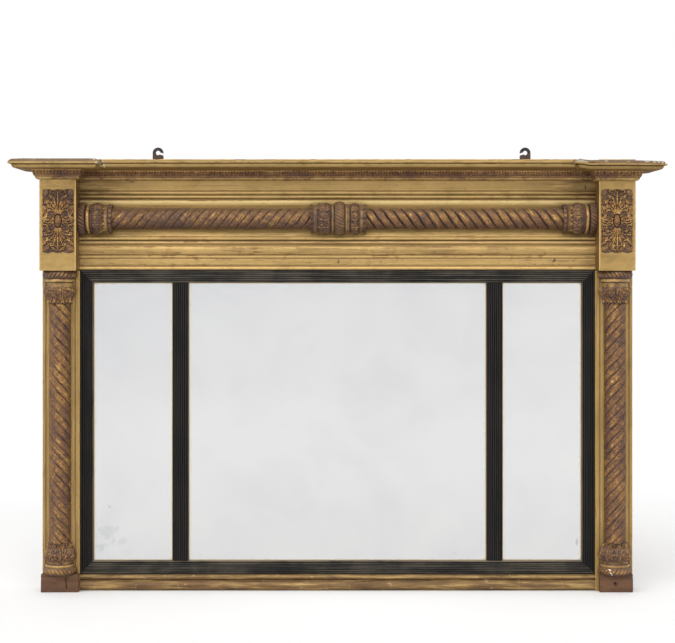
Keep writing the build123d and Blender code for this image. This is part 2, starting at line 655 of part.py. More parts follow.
def xfwd(points):
    out = []
    for p in points:
        out.append((p[0], fwd(p[1])) if len(p) == 2 else (p[0], fwd(p[1]), p[2], fwd(p[3])))
    return out


# The slips are mitred at the corners, on lines through the opening's corners.
Z0S, Z1S = 34.9, Z_SIGHT - 0.6
S_TOP_IN, S_BOT_IN, S_SIDE_IN = Z1S - SLIP_W, Z0S + SLIP_W, BOARD_IN - SLIP_W
M = 1.3
frame_out = [(-BOARD_IN - M, Z0S - M), (BOARD_IN + M, Z0S - M), (BOARD_IN + M, Z1S + M), (-BOARD_IN - M, Z1S + M)]
mid = 100.0     # the mitre lines run on at 45 degrees past the inner corners

with BuildPart() as slip_right:
    with BuildSketch(Plane.XY.offset(Z0S - 2)):
        with BuildLine():
            outline(xfwd(reeded(BOARD_IN, -1)))
        make_face()
    extrude(amount=Z1S - Z0S + 4)
    with BuildSketch(Plane.XZ.offset(-fwd(SLIP_BACK))):
        with BuildLine():
            outline([(BOARD_IN + M, Z0S - M), (BOARD_IN - mid, Z0S + mid),
                     (BOARD_IN - mid, Z1S - mid), (BOARD_IN + M, Z1S + M)])
        make_face()
    extrude(amount=20, mode=Mode.INTERSECT)
    with Locations((BOARD_IN, fwd(-16), Z_SIGHT + 5)):
        Box(40, 20, 10, mode=Mode.SUBTRACT)
save(slip_right, "slip_right")

with BuildPart() as slip_left:
    mirror(slip_right.part, about=Plane.YZ)
save(slip_left, "slip_left")

with BuildPart() as slip_top:
    with BuildSketch(Plane.YZ.offset(-BOARD_IN - 2)):
        with BuildLine():
            outline([(fwd(p[1]), p[0]) if len(p) == 2 else (fwd(p[1]), p[0], fwd(p[3]), p[2])
                     for p in reeded(Z1S, -1)])
        make_face()
    extrude(amount=2 * BOARD_IN + 4)
    with BuildSketch(Plane.XZ.offset(-fwd(SLIP_BACK))):
        with BuildLine():
            outline([(-BOARD_IN - M, Z1S + M), (BOARD_IN + M, Z1S + M),
                     (BOARD_IN - mid, Z1S - mid), (-BOARD_IN + mid, Z1S - mid)])
        make_face()
    extrude(amount=20, mode=Mode.INTERSECT)
    # trimmed to the underside of the sight bead
    with Locations((0, fwd(-16), Z_SIGHT + 5)):
        Box(2 * BOARD_OUT, 20, 10, mode=Mode.SUBTRACT)
save(slip_top, "slip_top")

with BuildPart() as slip_bottom:
    with BuildSketch(Plane.YZ.offset(-BOARD_IN - 2)):
        with BuildLine():
            outline([(fwd(p[1]), p[0]) if len(p) == 2 else (fwd(p[1]), p[0], fwd(p[3]), p[2])
                     for p in reeded(Z0S, 1)])
        make_face()
    extrude(amount=2 * BOARD_IN + 4)
    with BuildSketch(Plane.XZ.offset(-fwd(SLIP_BACK))):
        with BuildLine():
            outline([(-BOARD_IN - M, Z0S - M), (BOARD_IN + M, Z0S - M),
                     (BOARD_IN - mid, Z0S + mid), (-BOARD_IN + mid, Z0S + mid)])
        make_face()
    extrude(amount=20, mode=Mode.INTERSECT)
    # packing under the slip, down to the rail
    with Locations((0, fwd((SLIP_BACK + SLIP_BASE) / 2), (Z_RAIL + Z0S - M) / 2)):
        Box(2 * BOARD_IN, SLIP_BASE - SLIP_BACK, Z0S - M - Z_RAIL)
save(slip_bottom, "slip_bottom")

# Dividers over the muntins: six reeds between two lips.
with BuildPart() as divider_right:
    half = DIV_W / 2
    first = DIV_X - 3 * REED
    pts = [(DIV_X - half, SLIP_BACK), (DIV_X - half, -13.6), (DIV_X - half + 1.2, -11.6),
           (first - 0.9, -11.6), (first - 0.4, -13.2), (first, SLIP_BASE)]
    for k in range(6):
        a = first + REED * k
        pts.append((a + REED / 2, SLIP_TOP, a + REED, SLIP_BASE))
    last = first + 6 * REED
    pts += [(last + 0.4, -13.2), (last + 0.9, -11.6), (DIV_X + half - 1.2, -11.6),
            (DIV_X + half, -13.6), (DIV_X + half, SLIP_BACK)]
    with BuildSketch(Plane.XY.offset(S_BOT_IN)):
        with BuildLine():
            outline(xfwd(pts))
        make_face()
    extrude(amount=S_TOP_IN - S_BOT_IN)
save(divider_right, "divider_right")

with BuildPart() as divider_left:
    mirror(divider_right.part, about=Plane.YZ)
save(divider_left, "divider_left")

# Three plates, standing on the bottom rail behind the slips.
PLATE_TOP = 671.0
for name, x0, x1 in (("mirror_plate_left", -540.0, -(DIV_X + MUNTIN_W / 2 + 1.5)),
                     ("mirror_plate_centre", -(DIV_X - MUNTIN_W / 2 - 1.5), DIV_X - MUNTIN_W / 2 - 1.5),
                     ("mirror_plate_right", DIV_X + MUNTIN_W / 2 + 1.5, 540.0)):
    with BuildPart() as mirror_plate:
        with BuildSketch(Plane.XZ.offset(-fwd(GLASS_BACK))):
            with Locations(((x0 + x1) / 2, (Z_RAIL + PLATE_TOP) / 2)):
                Rectangle(x1 - x0, PLATE_TOP - Z_RAIL)
        extrude(amount=GLASS_FRONT - GLASS_BACK)
    save(mirror_plate, name)

# Small glue blocks that hold the plates from behind.
with BuildPart() as glazing_blocks:
    depth, mid_f = GLASS_BACK - BOARDS_FRONT, (GLASS_BACK + BOARDS_FRONT) / 2
    for s in (-1, 1):
        with Locations(*[(s * (X_IN - 6.5), fwd(mid_f), z) for z in (120, 350, 580)]):
            Box(13, depth, 40)
        for d in (-1, 1):
            with Locations(*[(s * DIV_X + d * (MUNTIN_W / 2 + 6), fwd(mid_f), z) for z in (120, 350, 580)]):
                Box(12, depth, 40)
    with Locations(*[(x, fwd(mid_f), Z_SIGHT - 7) for x in (-440, -150, 150, 440)]):
        Box(40, depth, 14)
    with Locations(*[(x, fwd(mid_f), Z_RAIL + 6) for x in (-440, -150, 150, 440)]):
        Box(40, depth, 12)
save(glazing_blocks, "glazing_blocks")

# Back boards: thin vertical planks nailed into the rebate, 0.8 mm apart.
GAP = 0.8
Z_BB0, Z_BB1 = Z_RAIL - 8, Z_SIGHT + REB
for name, edges_x in (("backboard_left", (-X_IN - REB, -440.0, -DIV_X)),
                      ("backboard_centre", (-DIV_X, -200.0, -62.0, 71.0, 197.0, DIV_X)),
                      ("backboard_right", (DIV_X, 436.0, X_IN + REB))):
    with BuildPart() as backboard:
        for a, b in zip(edges_x[:-1], edges_x[1:]):
            a2 = a + (GAP / 2 if abs(a) < X_IN else 0)
            b2 = b - (GAP / 2 if abs(b) < X_IN else 0)
            with Locations(((a2 + b2) / 2, fwd((BACK + BOARDS_FRONT) / 2), (Z_BB0 + Z_BB1) / 2)):
                Box(b2 - a2, BOARDS_FRONT - BACK, Z_BB1 - Z_BB0)
        inside = [(x, z) for x, z in nails if edges_x[0] < x < edges_x[-1]]
        with Locations(*[(x, fwd((BACK + BOARDS_FRONT) / 2), z) for x, z in inside]):
            Cylinder(NAIL_R, BOARDS_FRONT - BACK, rotation=(90, 0, 0), mode=Mode.SUBTRACT)
        with Locations(*[(x, fwd(BACK + 0.4), z) for x, z in inside]):
            Cylinder(2.4, 0.8, rotation=(90, 0, 0), mode=Mode.SUBTRACT)
    save(backboard, name)

with BuildPart() as backboard_nails:
    with Locations(*[(x, fwd(BACK + NAIL_LEN / 2), z) for x, z in nails]):
        Cylinder(NAIL_R, NAIL_LEN, rotation=(90, 0, 0))
    with Locations(*[(x, fwd(BACK + 0.4), z) for x, z in nails]):
        Cylinder(2.4, 0.8, rotation=(90, 0, 0))
save(backboard_nails, "backboard_nails")

# ----------------------------------------------------------- hanging plates
# Iron strap with a round eye above the cornice. An open slot runs from the
# eye to the inner side, and two countersunk screws hold the strap.
for name, px, side in (("hanging_plate_left", PLATE_X[0], 1), ("hanging_plate_right", PLATE_X[1], -1)):
    with BuildPart() as hanging_plate:
        with BuildSketch(Plane.XZ.offset(-fwd(BACK))):
            with BuildLine():
                r = PLATE_W / 2
                outline([(px - r, PLATE_Z0 + 3), (px - r + 3, PLATE_Z0), (px + r - 3, PLATE_Z0),
                         (px + r, PLATE_Z0 + 3), (px + r, EYE_Z),
                         (px, PLATE_Z1, px - r, EYE_Z)])
            make_face()
            with Locations((px, EYE_Z)):
                Circle(EYE_R, mode=Mode.SUBTRACT)
            with Locations((px + side * 8.2, EYE_Z - 2.4)):
                Rectangle(12, 4.2, rotation=-18 * side, mode=Mode.SUBTRACT)
        extrude(amount=PLATE_T)
        for z in SCREW_Z:
            with Locations(Plane((px, fwd(BACK), z), x_dir=(1, 0, 0), z_dir=(0, 1, 0))):
                CounterSinkHole(1.9, 4.0, depth=PLATE_T, counter_sink_angle=90)
    save(hanging_plate, name)

with BuildPart() as hanging_plate_screws:
    for x, z in screws:
        with BuildSketch(Plane((x, fwd(BACK), z), x_dir=(1, 0, 0), z_dir=(0, 0, 1))):
            with BuildLine():
                outline([(0, 0), (4.0, 0), (1.9, -2.1), (1.9, -PLATE_T - 12), (0, -PLATE_T - 12)])
            make_face()
        revolve(axis=Axis((x, 0, z), (0, 1, 0)))
save(hanging_plate_screws, "hanging_plate_screws")
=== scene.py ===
import math
import bpy
import numpy as np
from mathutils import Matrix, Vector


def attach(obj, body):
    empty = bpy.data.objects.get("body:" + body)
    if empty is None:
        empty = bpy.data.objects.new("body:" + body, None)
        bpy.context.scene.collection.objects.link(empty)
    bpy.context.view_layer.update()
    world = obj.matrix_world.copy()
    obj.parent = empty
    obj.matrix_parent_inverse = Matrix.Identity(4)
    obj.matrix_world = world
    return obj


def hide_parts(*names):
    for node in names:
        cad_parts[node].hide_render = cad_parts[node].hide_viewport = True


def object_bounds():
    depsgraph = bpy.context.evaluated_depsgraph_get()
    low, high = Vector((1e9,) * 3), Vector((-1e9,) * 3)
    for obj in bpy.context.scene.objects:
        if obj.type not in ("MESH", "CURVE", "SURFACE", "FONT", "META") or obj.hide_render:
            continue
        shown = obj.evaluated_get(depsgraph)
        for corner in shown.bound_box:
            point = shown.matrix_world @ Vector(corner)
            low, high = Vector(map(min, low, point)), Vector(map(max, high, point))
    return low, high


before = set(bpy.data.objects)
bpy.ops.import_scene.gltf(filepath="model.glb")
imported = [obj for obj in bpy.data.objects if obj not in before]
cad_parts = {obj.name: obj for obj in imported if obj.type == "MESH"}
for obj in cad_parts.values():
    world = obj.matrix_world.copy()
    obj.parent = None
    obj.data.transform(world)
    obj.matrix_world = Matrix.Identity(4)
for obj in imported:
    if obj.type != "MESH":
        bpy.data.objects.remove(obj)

# Looks of a triple-plate overmantel mirror. Lengths below are millimetres in
# the row's frame; "forward" (zf) is the distance in front of the pilaster
# boards, so Y = 25 - zf. Meshes are scaled to metres when they are made.
CAD_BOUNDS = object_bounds()
X_IN, X_OUT = 542.8, 618.8
BOARD_IN, BOARD_OUT = 541.5, 619.4
FRIEZE, BLOCK, TIP, BACK = -8.0, 40.0, 95.0, -45.0
COL_X, COL_FWD, ORN_X = 582.0, 2.0, 579.8
FCOL_Z, FCOL_FWD = 782.0, -4.0
DIV_X = 331.0

# ------------------------------------------------------------------ camera
cam = bpy.data.cameras.new("camera")
cam.sensor_width = 36.0
cam.lens = 85.08
cam.shift_y = -0.0807
cam.clip_end = 100.0
eye = bpy.data.objects.new("camera", cam)
eye.location = (0.0, -3.325, 0.6805)
eye.rotation_euler = (math.radians(90), 0, 0)
bpy.context.scene.collection.objects.link(eye)
bpy.context.scene.camera = eye
bpy.context.scene.view_settings.view_transform = "Standard"
bpy.context.scene.view_settings.look = "None"


# ------------------------------------------------------------------- noise
def noise(x, y=0.0, seed=0):
    """Smooth noise from -1 to 1 on a plane."""
    x, y = np.broadcast_arrays(np.asarray(x, float), np.asarray(y, float))
    ix, iy = np.floor(x), np.floor(y)
    fx, fy = x - ix, y - iy
    fx, fy = fx * fx * (3 - 2 * fx), fy * fy * (3 - 2 * fy)
    ix, iy = ix.astype(np.int64), iy.astype(np.int64)

    def at(a, b):
        n = (a * 374761393 + b * 668265263 + seed * 1442695041) & 0xffffffff
        n = ((n ^ (n >> 13)) * 1274126177) & 0xffffffff
        return ((n ^ (n >> 16)) & 0xffff) / 32767.5 - 1.0

    low = at(ix, iy) * (1 - fx) + at(ix + 1, iy) * fx
    high = at(ix, iy + 1) * (1 - fx) + at(ix + 1, iy + 1) * fx
    return low * (1 - fy) + high * fy


def fbm(x, y=0.0, seed=0, octaves=3):
    x, y = np.asarray(x, float), np.asarray(y, float)
    total, size = 0.0, 1.0
    for k in range(octaves):
        total = total + size * noise(x * 2 ** k, y * 2 ** k, seed + 17 * k)
        size *= 0.5
    return total / (2 - 2 * size)


def ss(a, b, x):
    """Smooth step from 0 at a to 1 at b."""
    t = np.clip((np.asarray(x, float) - a) / (b - a), 0, 1)
    return t * t * (3 - 2 * t)


# ------------------------------------------------------------ mesh helpers
def piece(name, V, quads, caps, material, nodes, attrs=None, sharp=38):
    """A mesh from points in mm (x, zf, z), quads and odd faces."""
    V = np.asarray(V, float)
    co = np.stack([V[:, 0], 25.0 - V[:, 1], V[:, 2]], 1) * 0.001
    co = np.clip(co, np.array(CAD_BOUNDS[0]) + 2e-5, np.array(CAD_BOUNDS[1]) - 2e-5)
    quads = np.asarray(quads, np.int32).reshape(-1, 4)
    loops = [quads.ravel()] + [np.asarray(c, np.int32) for c in caps]
    sizes = np.concatenate([np.full(len(quads), 4), np.array([len(c) for c in caps], int)])
    me = bpy.data.meshes.new(name)
    me.vertices.add(len(co))
    me.vertices.foreach_set("co", co.ravel())
    flat_loops = np.concatenate(loops)
    me.loops.add(len(flat_loops))
    me.loops.foreach_set("vertex_index", flat_loops)
    me.polygons.add(len(sizes))
    starts = np.concatenate([[0], np.cumsum(sizes)[:-1]]).astype(np.int32)
    me.polygons.foreach_set("loop_start", starts)
    me.polygons.foreach_set("use_smooth", np.ones(len(sizes), bool))
    me.update(calc_edges=True)
    me.validate()
    for key, values in (attrs or {}).items():
        a = me.attributes.new(key, "FLOAT", "POINT")
        a.data.foreach_set("value", np.asarray(values, np.float32).ravel())
    if sharp:
        me.set_sharp_from_angle(angle=math.radians(sharp))
    me.materials.append(material)
    o = bpy.data.objects.new(name, me)
    bpy.context.scene.collection.objects.link(o)
    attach(o, "root")
    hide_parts(*nodes)
    return o


def grid_quads(rows, cols, wrap=False, base=0, flip=False):
    """Quads of a grid of points stored row by row."""
    n = cols if wrap else cols - 1
    i, j = np.meshgrid(np.arange(rows - 1), np.arange(n), indexing="ij")
    a = i * cols + j
    b = i * cols + (j + 1) % cols
    q = np.stack([a, b, b + cols, a + cols], -1).reshape(-1, 4) + base
    return q[:, ::-1] if flip else q


def outline(points, step=1.5, corner=0.45):
    """Closed outline (corners and three-point arcs) as a dense loop of points
    with small rounded corners; also each point's outward turn and normal."""
    P = [np.array(points[0][:2], float)]
    for q in points[1:]:
        if len(q) == 2:
            P.append(np.array(q, float))
            continue
        a, b, c = P[-1], np.array(q[:2], float), np.array(q[2:], float)
        d = 2 * (a[0] * (b[1] - c[1]) + b[0] * (c[1] - a[1]) + c[0] * (a[1] - b[1]))
        ux = (a @ a * (b[1] - c[1]) + b @ b * (c[1] - a[1]) + c @ c * (a[1] - b[1])) / d
        uy = (a @ a * (c[0] - b[0]) + b @ b * (a[0] - c[0]) + c @ c * (b[0] - a[0])) / d
        o = np.array([ux, uy])
        t0, t1, t2 = (math.atan2(p[1] - uy, p[0] - ux) for p in (a, b, c))
        full = (t2 - t0) % (2 * math.pi)
        if (t1 - t0) % (2 * math.pi) > full:
            full -= 2 * math.pi
        r = np.linalg.norm(a - o)
        n = max(6, int(abs(full) * max(r, 3.0) / 0.9))
        for k in range(1, n + 1):
            t = t0 + full * k / n
            P.append(o + r * np.array([math.cos(t), math.sin(t)]))
    P = [p for k, p in enumerate(P) if np.linalg.norm(p - P[k - 1]) > 1e-6]
    # rounded corners
    out = []
    for k in range(len(P)):
        a, b, c = P[k - 1], P[k], P[(k + 1) % len(P)]
        u, v = a - b, c - b
        lu, lv = np.linalg.norm(u), np.linalg.norm(v)
        turn = math.acos(np.clip(-(u @ v) / (lu * lv), -1, 1))
        if turn > math.radians(24):
            cut = min(corner, 0.35 * lu, 0.35 * lv)
            p, q = b + u / lu * cut, b + v / lv * cut
            out += [p, 0.25 * p + 0.5 * b + 0.25 * q, q]
        else:
            out.append(b)
    # long straights
    dense = []
    for k in range(len(out)):
        a, b = out[k], out[(k + 1) % len(out)]
        n = max(1, int(np.linalg.norm(b - a) / step))
        dense += [a + (b - a) * i / n for i in range(n)]
    Q = np.array(dense)
    nxt, prv = np.roll(Q, -1, 0), np.roll(Q, 1, 0)
    e0, e1 = Q - prv, nxt - Q
    area = 0.5 * np.sum(Q[:, 0] * nxt[:, 1] - nxt[:, 0] * Q[:, 1])
    s = 1.0 if area > 0 else -1.0
    turn = np.arctan2(e0[:, 0] * e1[:, 1] - e0[:, 1] * e1[:, 0], (e0 * e1).sum(1)) * s
    t = e0 / np.linalg.norm(e0, axis=1)[:, None] + e1 / np.linalg.norm(e1, axis=1)[:, None]
    nrm = np.stack([t[:, 1], -t[:, 0]], 1) * s
    nrm /= np.linalg.norm(nrm, axis=1)[:, None] + 1e-9
    w = np.concatenate([[0], np.cumsum(np.linalg.norm(e1, axis=1))])[:-1]
    total = w[-1] + np.linalg.norm(e1[-1])
    gap = np.abs(w[:, None] - w[None, :])
    gap = np.minimum(gap, total - gap)
    bend = (np.exp(-(gap / 1.1) ** 2) * turn[None, :]).sum(1)
    return Q, nrm, np.clip(0.5 + 0.45 * bend, 0, 1), w


def sweep(points, path, seg=4.0, wave=0.0, seed=1, relief=None, step=1.5, corner=0.45, extra=None):
    """Runs a closed profile (p, z) along path(p): corner points (x, zf) for
    each projection p. Returns points, quads, caps and attributes."""
    Q, N, bend, w = outline(points, step, corner)
    n = len(Q)
    front = ss(0.0, 3.0, Q[:, 0] - Q[:, 0].min())
    corners = np.array([path(p) for p in Q[:, 0]])        # (n, k, 2)
    k = corners.shape[1]
    rows, S = [], []
    run = 0.0
    for i in range(k - 1):
        length = np.linalg.norm(corners[:, i + 1] - corners[:, i], axis=1).mean()
        m = max(1, int(round(length / seg)))
        for j in range(m + 1):
            if i and j == 0:
                continue
            rows.append((i, j / m))
            S.append(run + length * j / m)
        run += length
    V = np.zeros((len(rows), n, 3))
    E = np.zeros((len(rows), n))
    for r, ((i, t), s) in enumerate(zip(rows, S)):
        d = wave * front * fbm(s / 55.0, w / 9.0, seed) if wave else np.zeros(n)
        e = bend.copy()
        if relief is not None:
            dd, ee = relief(s, run, Q, w)
            d = d + dd
            e = e + ee
        P = Q + N * d[:, None]
        c = np.array([path(p) for p in P[:, 0]]) if np.abs(d).max() > 0 else corners
        V[r, :, :2] = c[:, i] * (1 - t) + c[:, i + 1] * t
        V[r, :, 2] = P[:, 1]
        E[r] = e
    quads = grid_quads(len(rows), n, wrap=True)
    caps = [list(range(n - 1, -1, -1)), list(range((len(rows) - 1) * n, len(rows) * n))]
    attrs = {"edge": np.clip(E, 0, 1).ravel()}
    if extra is not None:
        attrs["gilt"] = np.tile(extra(Q), len(rows))
    V = V.reshape(-1, 3)
    # outward faces whatever the turn of the profile
    a = 0.5 * np.sum(Q[:, 0] * np.roll(Q[:, 1], -1) - np.roll(Q[:, 0], -1) * Q[:, 1])
    p0, p1 = corners[0, 0], corners[0, 1]
    d = (p1 - p0) / np.linalg.norm(p1 - p0)
    out_dir = np.array(path(1.0)[0]) - np.array(path(0.0)[0])
    side = d[0] * out_dir[1] - d[1] * out_dir[0]
    if (a > 0) == (side > 0):
        quads = quads[:, ::-1]
        caps = [c[::-1] for c in caps]
    return V, quads, caps, attrs


def along_x(x0, x1):
    return lambda p: [(x0, p), (x1, p)]


# --------------------------------------------------------------- materials
def C(r, g, b):
    """Colour given as 8-bit sRGB."""
    def lin(c):
        c /= 255.0
        return c / 12.92 if c <= 0.04045 else ((c + 0.055) / 1.055) ** 2.4
    return (lin(r), lin(g), lin(b), 1.0)


class Shader:
    def __init__(s, name):
        s.m = bpy.data.materials.new(name)
        s.m.use_nodes = True
        s.t = s.m.node_tree
        s.t.nodes.clear()
        s.out = s.t.nodes.new("ShaderNodeOutputMaterial")
        s.b = s.t.nodes.new("ShaderNodeBsdfPrincipled")
        s.t.links.new(s.b.outputs[0], s.out.inputs[0])
        s.obj = s.t.nodes.new("ShaderNodeTexCoord").outputs["Object"]
        sep = s.t.nodes.new("ShaderNodeSeparateXYZ")
        s.t.links.new(s.obj, sep.inputs[0])
        s.x, s.y, s.z = sep.outputs
        geo = s.t.nodes.new("ShaderNodeNewGeometry")
        sep = s.t.nodes.new("ShaderNodeSeparateXYZ")
        s.t.links.new(geo.outputs["Normal"], sep.inputs[0])
        s.nx, s.ny, s.nz = sep.outputs

    def put(s, socket, v):
        if isinstance(v, bpy.types.NodeSocket):
            s.t.links.new(v, socket)
        elif v is not None:
            socket.default_value = v

    def set(s, **kw):
        for k, v in kw.items():
            s.put(s.b.inputs[k.replace("_", " ")], v)

    def math(s, op, a, b=None, c=None, clamp=False):
        n = s.t.nodes.new("ShaderNodeMath")
        n.operation = op
        n.use_clamp = clamp
        for k, v in enumerate((a, b, c)):
            s.put(n.inputs[k], v)
        return n.outputs[0]

    def add(s, a, b): return s.math("ADD", a, b)
    def mul(s, a, b): return s.math("MULTIPLY", a, b)
    def mx(s, a, b): return s.math("MAXIMUM", a, b)

    def noise(s, scale, detail=3.0, rough=0.55, dist=0.0, off=0.0):
        v = s.t.nodes.new("ShaderNodeVectorMath")
        v.operation = "MULTIPLY_ADD"
        s.put(v.inputs[0], s.obj)
        v.inputs[1].default_value = scale if isinstance(scale, tuple) else (scale,) * 3
        v.inputs[2].default_value = (off, off * 0.7, off * 1.3)
        n = s.t.nodes.new("ShaderNodeTexNoise")
        s.t.links.new(v.outputs[0], n.inputs["Vector"])
        n.inputs["Scale"].default_value = 1.0
        n.inputs["Detail"].default_value = detail
        n.inputs["Roughness"].default_value = rough
        n.inputs["Distortion"].default_value = dist
        return n.outputs[0]

    def step(s, x, a, b, lo=0.0, hi=1.0):
        n = s.t.nodes.new("ShaderNodeMapRange")
        n.interpolation_type = "SMOOTHSTEP"
        for k, v in enumerate((x, a, b, lo, hi)):
            s.put(n.inputs[k], v)
        return n.outputs[0]

    def mix(s, f, a, b):
        n = s.t.nodes.new("ShaderNodeMix")
        n.data_type = "RGBA"
        s.put(n.inputs[0], f)
        s.put(n.inputs[6], a)
        s.put(n.inputs[7], b)
        return n.outputs[2]

    def ramp(s, f, stops):
        n = s.t.nodes.new("ShaderNodeValToRGB")
        s.put(n.inputs[0], f)
        e = n.color_ramp.elements
        while len(e) < len(stops):
            e.new(0.5)
        for k, (p, c) in enumerate(stops):
            e[k].position = p
            e[k].color = c
        return n.outputs[0]

    def attr(s, name):
        n = s.t.nodes.new("ShaderNodeAttribute")
        n.attribute_name = name
        return n.outputs["Fac"]

    def bump(s, height, strength, distance, normal=None):
        n = s.t.nodes.new("ShaderNodeBump")
        n.inputs["Strength"].default_value = strength
        n.inputs["Distance"].default_value = distance
        s.put(n.inputs["Height"], height)
        if normal is not None:
            s.put(n.inputs["Normal"], normal)
        return n.outputs[0]

    def near(s, spots, rough=0.35, size=90.0):
        """1 inside any of the ellipsoids (x, y, z, rx, ry, rz), ragged edges."""
        ragged = s.mul(s.add(s.noise(size, 3.0, 0.6), -0.5), rough * 2)
        best = None
        for x, y, z, rx, ry, rz in spots:
            v = s.t.nodes.new("ShaderNodeVectorMath")
            v.operation = "MULTIPLY_ADD"
            s.put(v.inputs[0], s.obj)
            v.inputs[1].default_value = (1 / rx, 1 / ry, 1 / rz)
            v.inputs[2].default_value = (-x / rx, -y / ry, -z / rz)
            l = s.t.nodes.new("ShaderNodeVectorMath")
            l.operation = "LENGTH"
            s.t.links.new(v.outputs[0], l.inputs[0])
            d = s.step(s.add(l.outputs["Value"], ragged), 1.0, 0.82)
            best = d if best is None else s.mx(best, d)
        return best


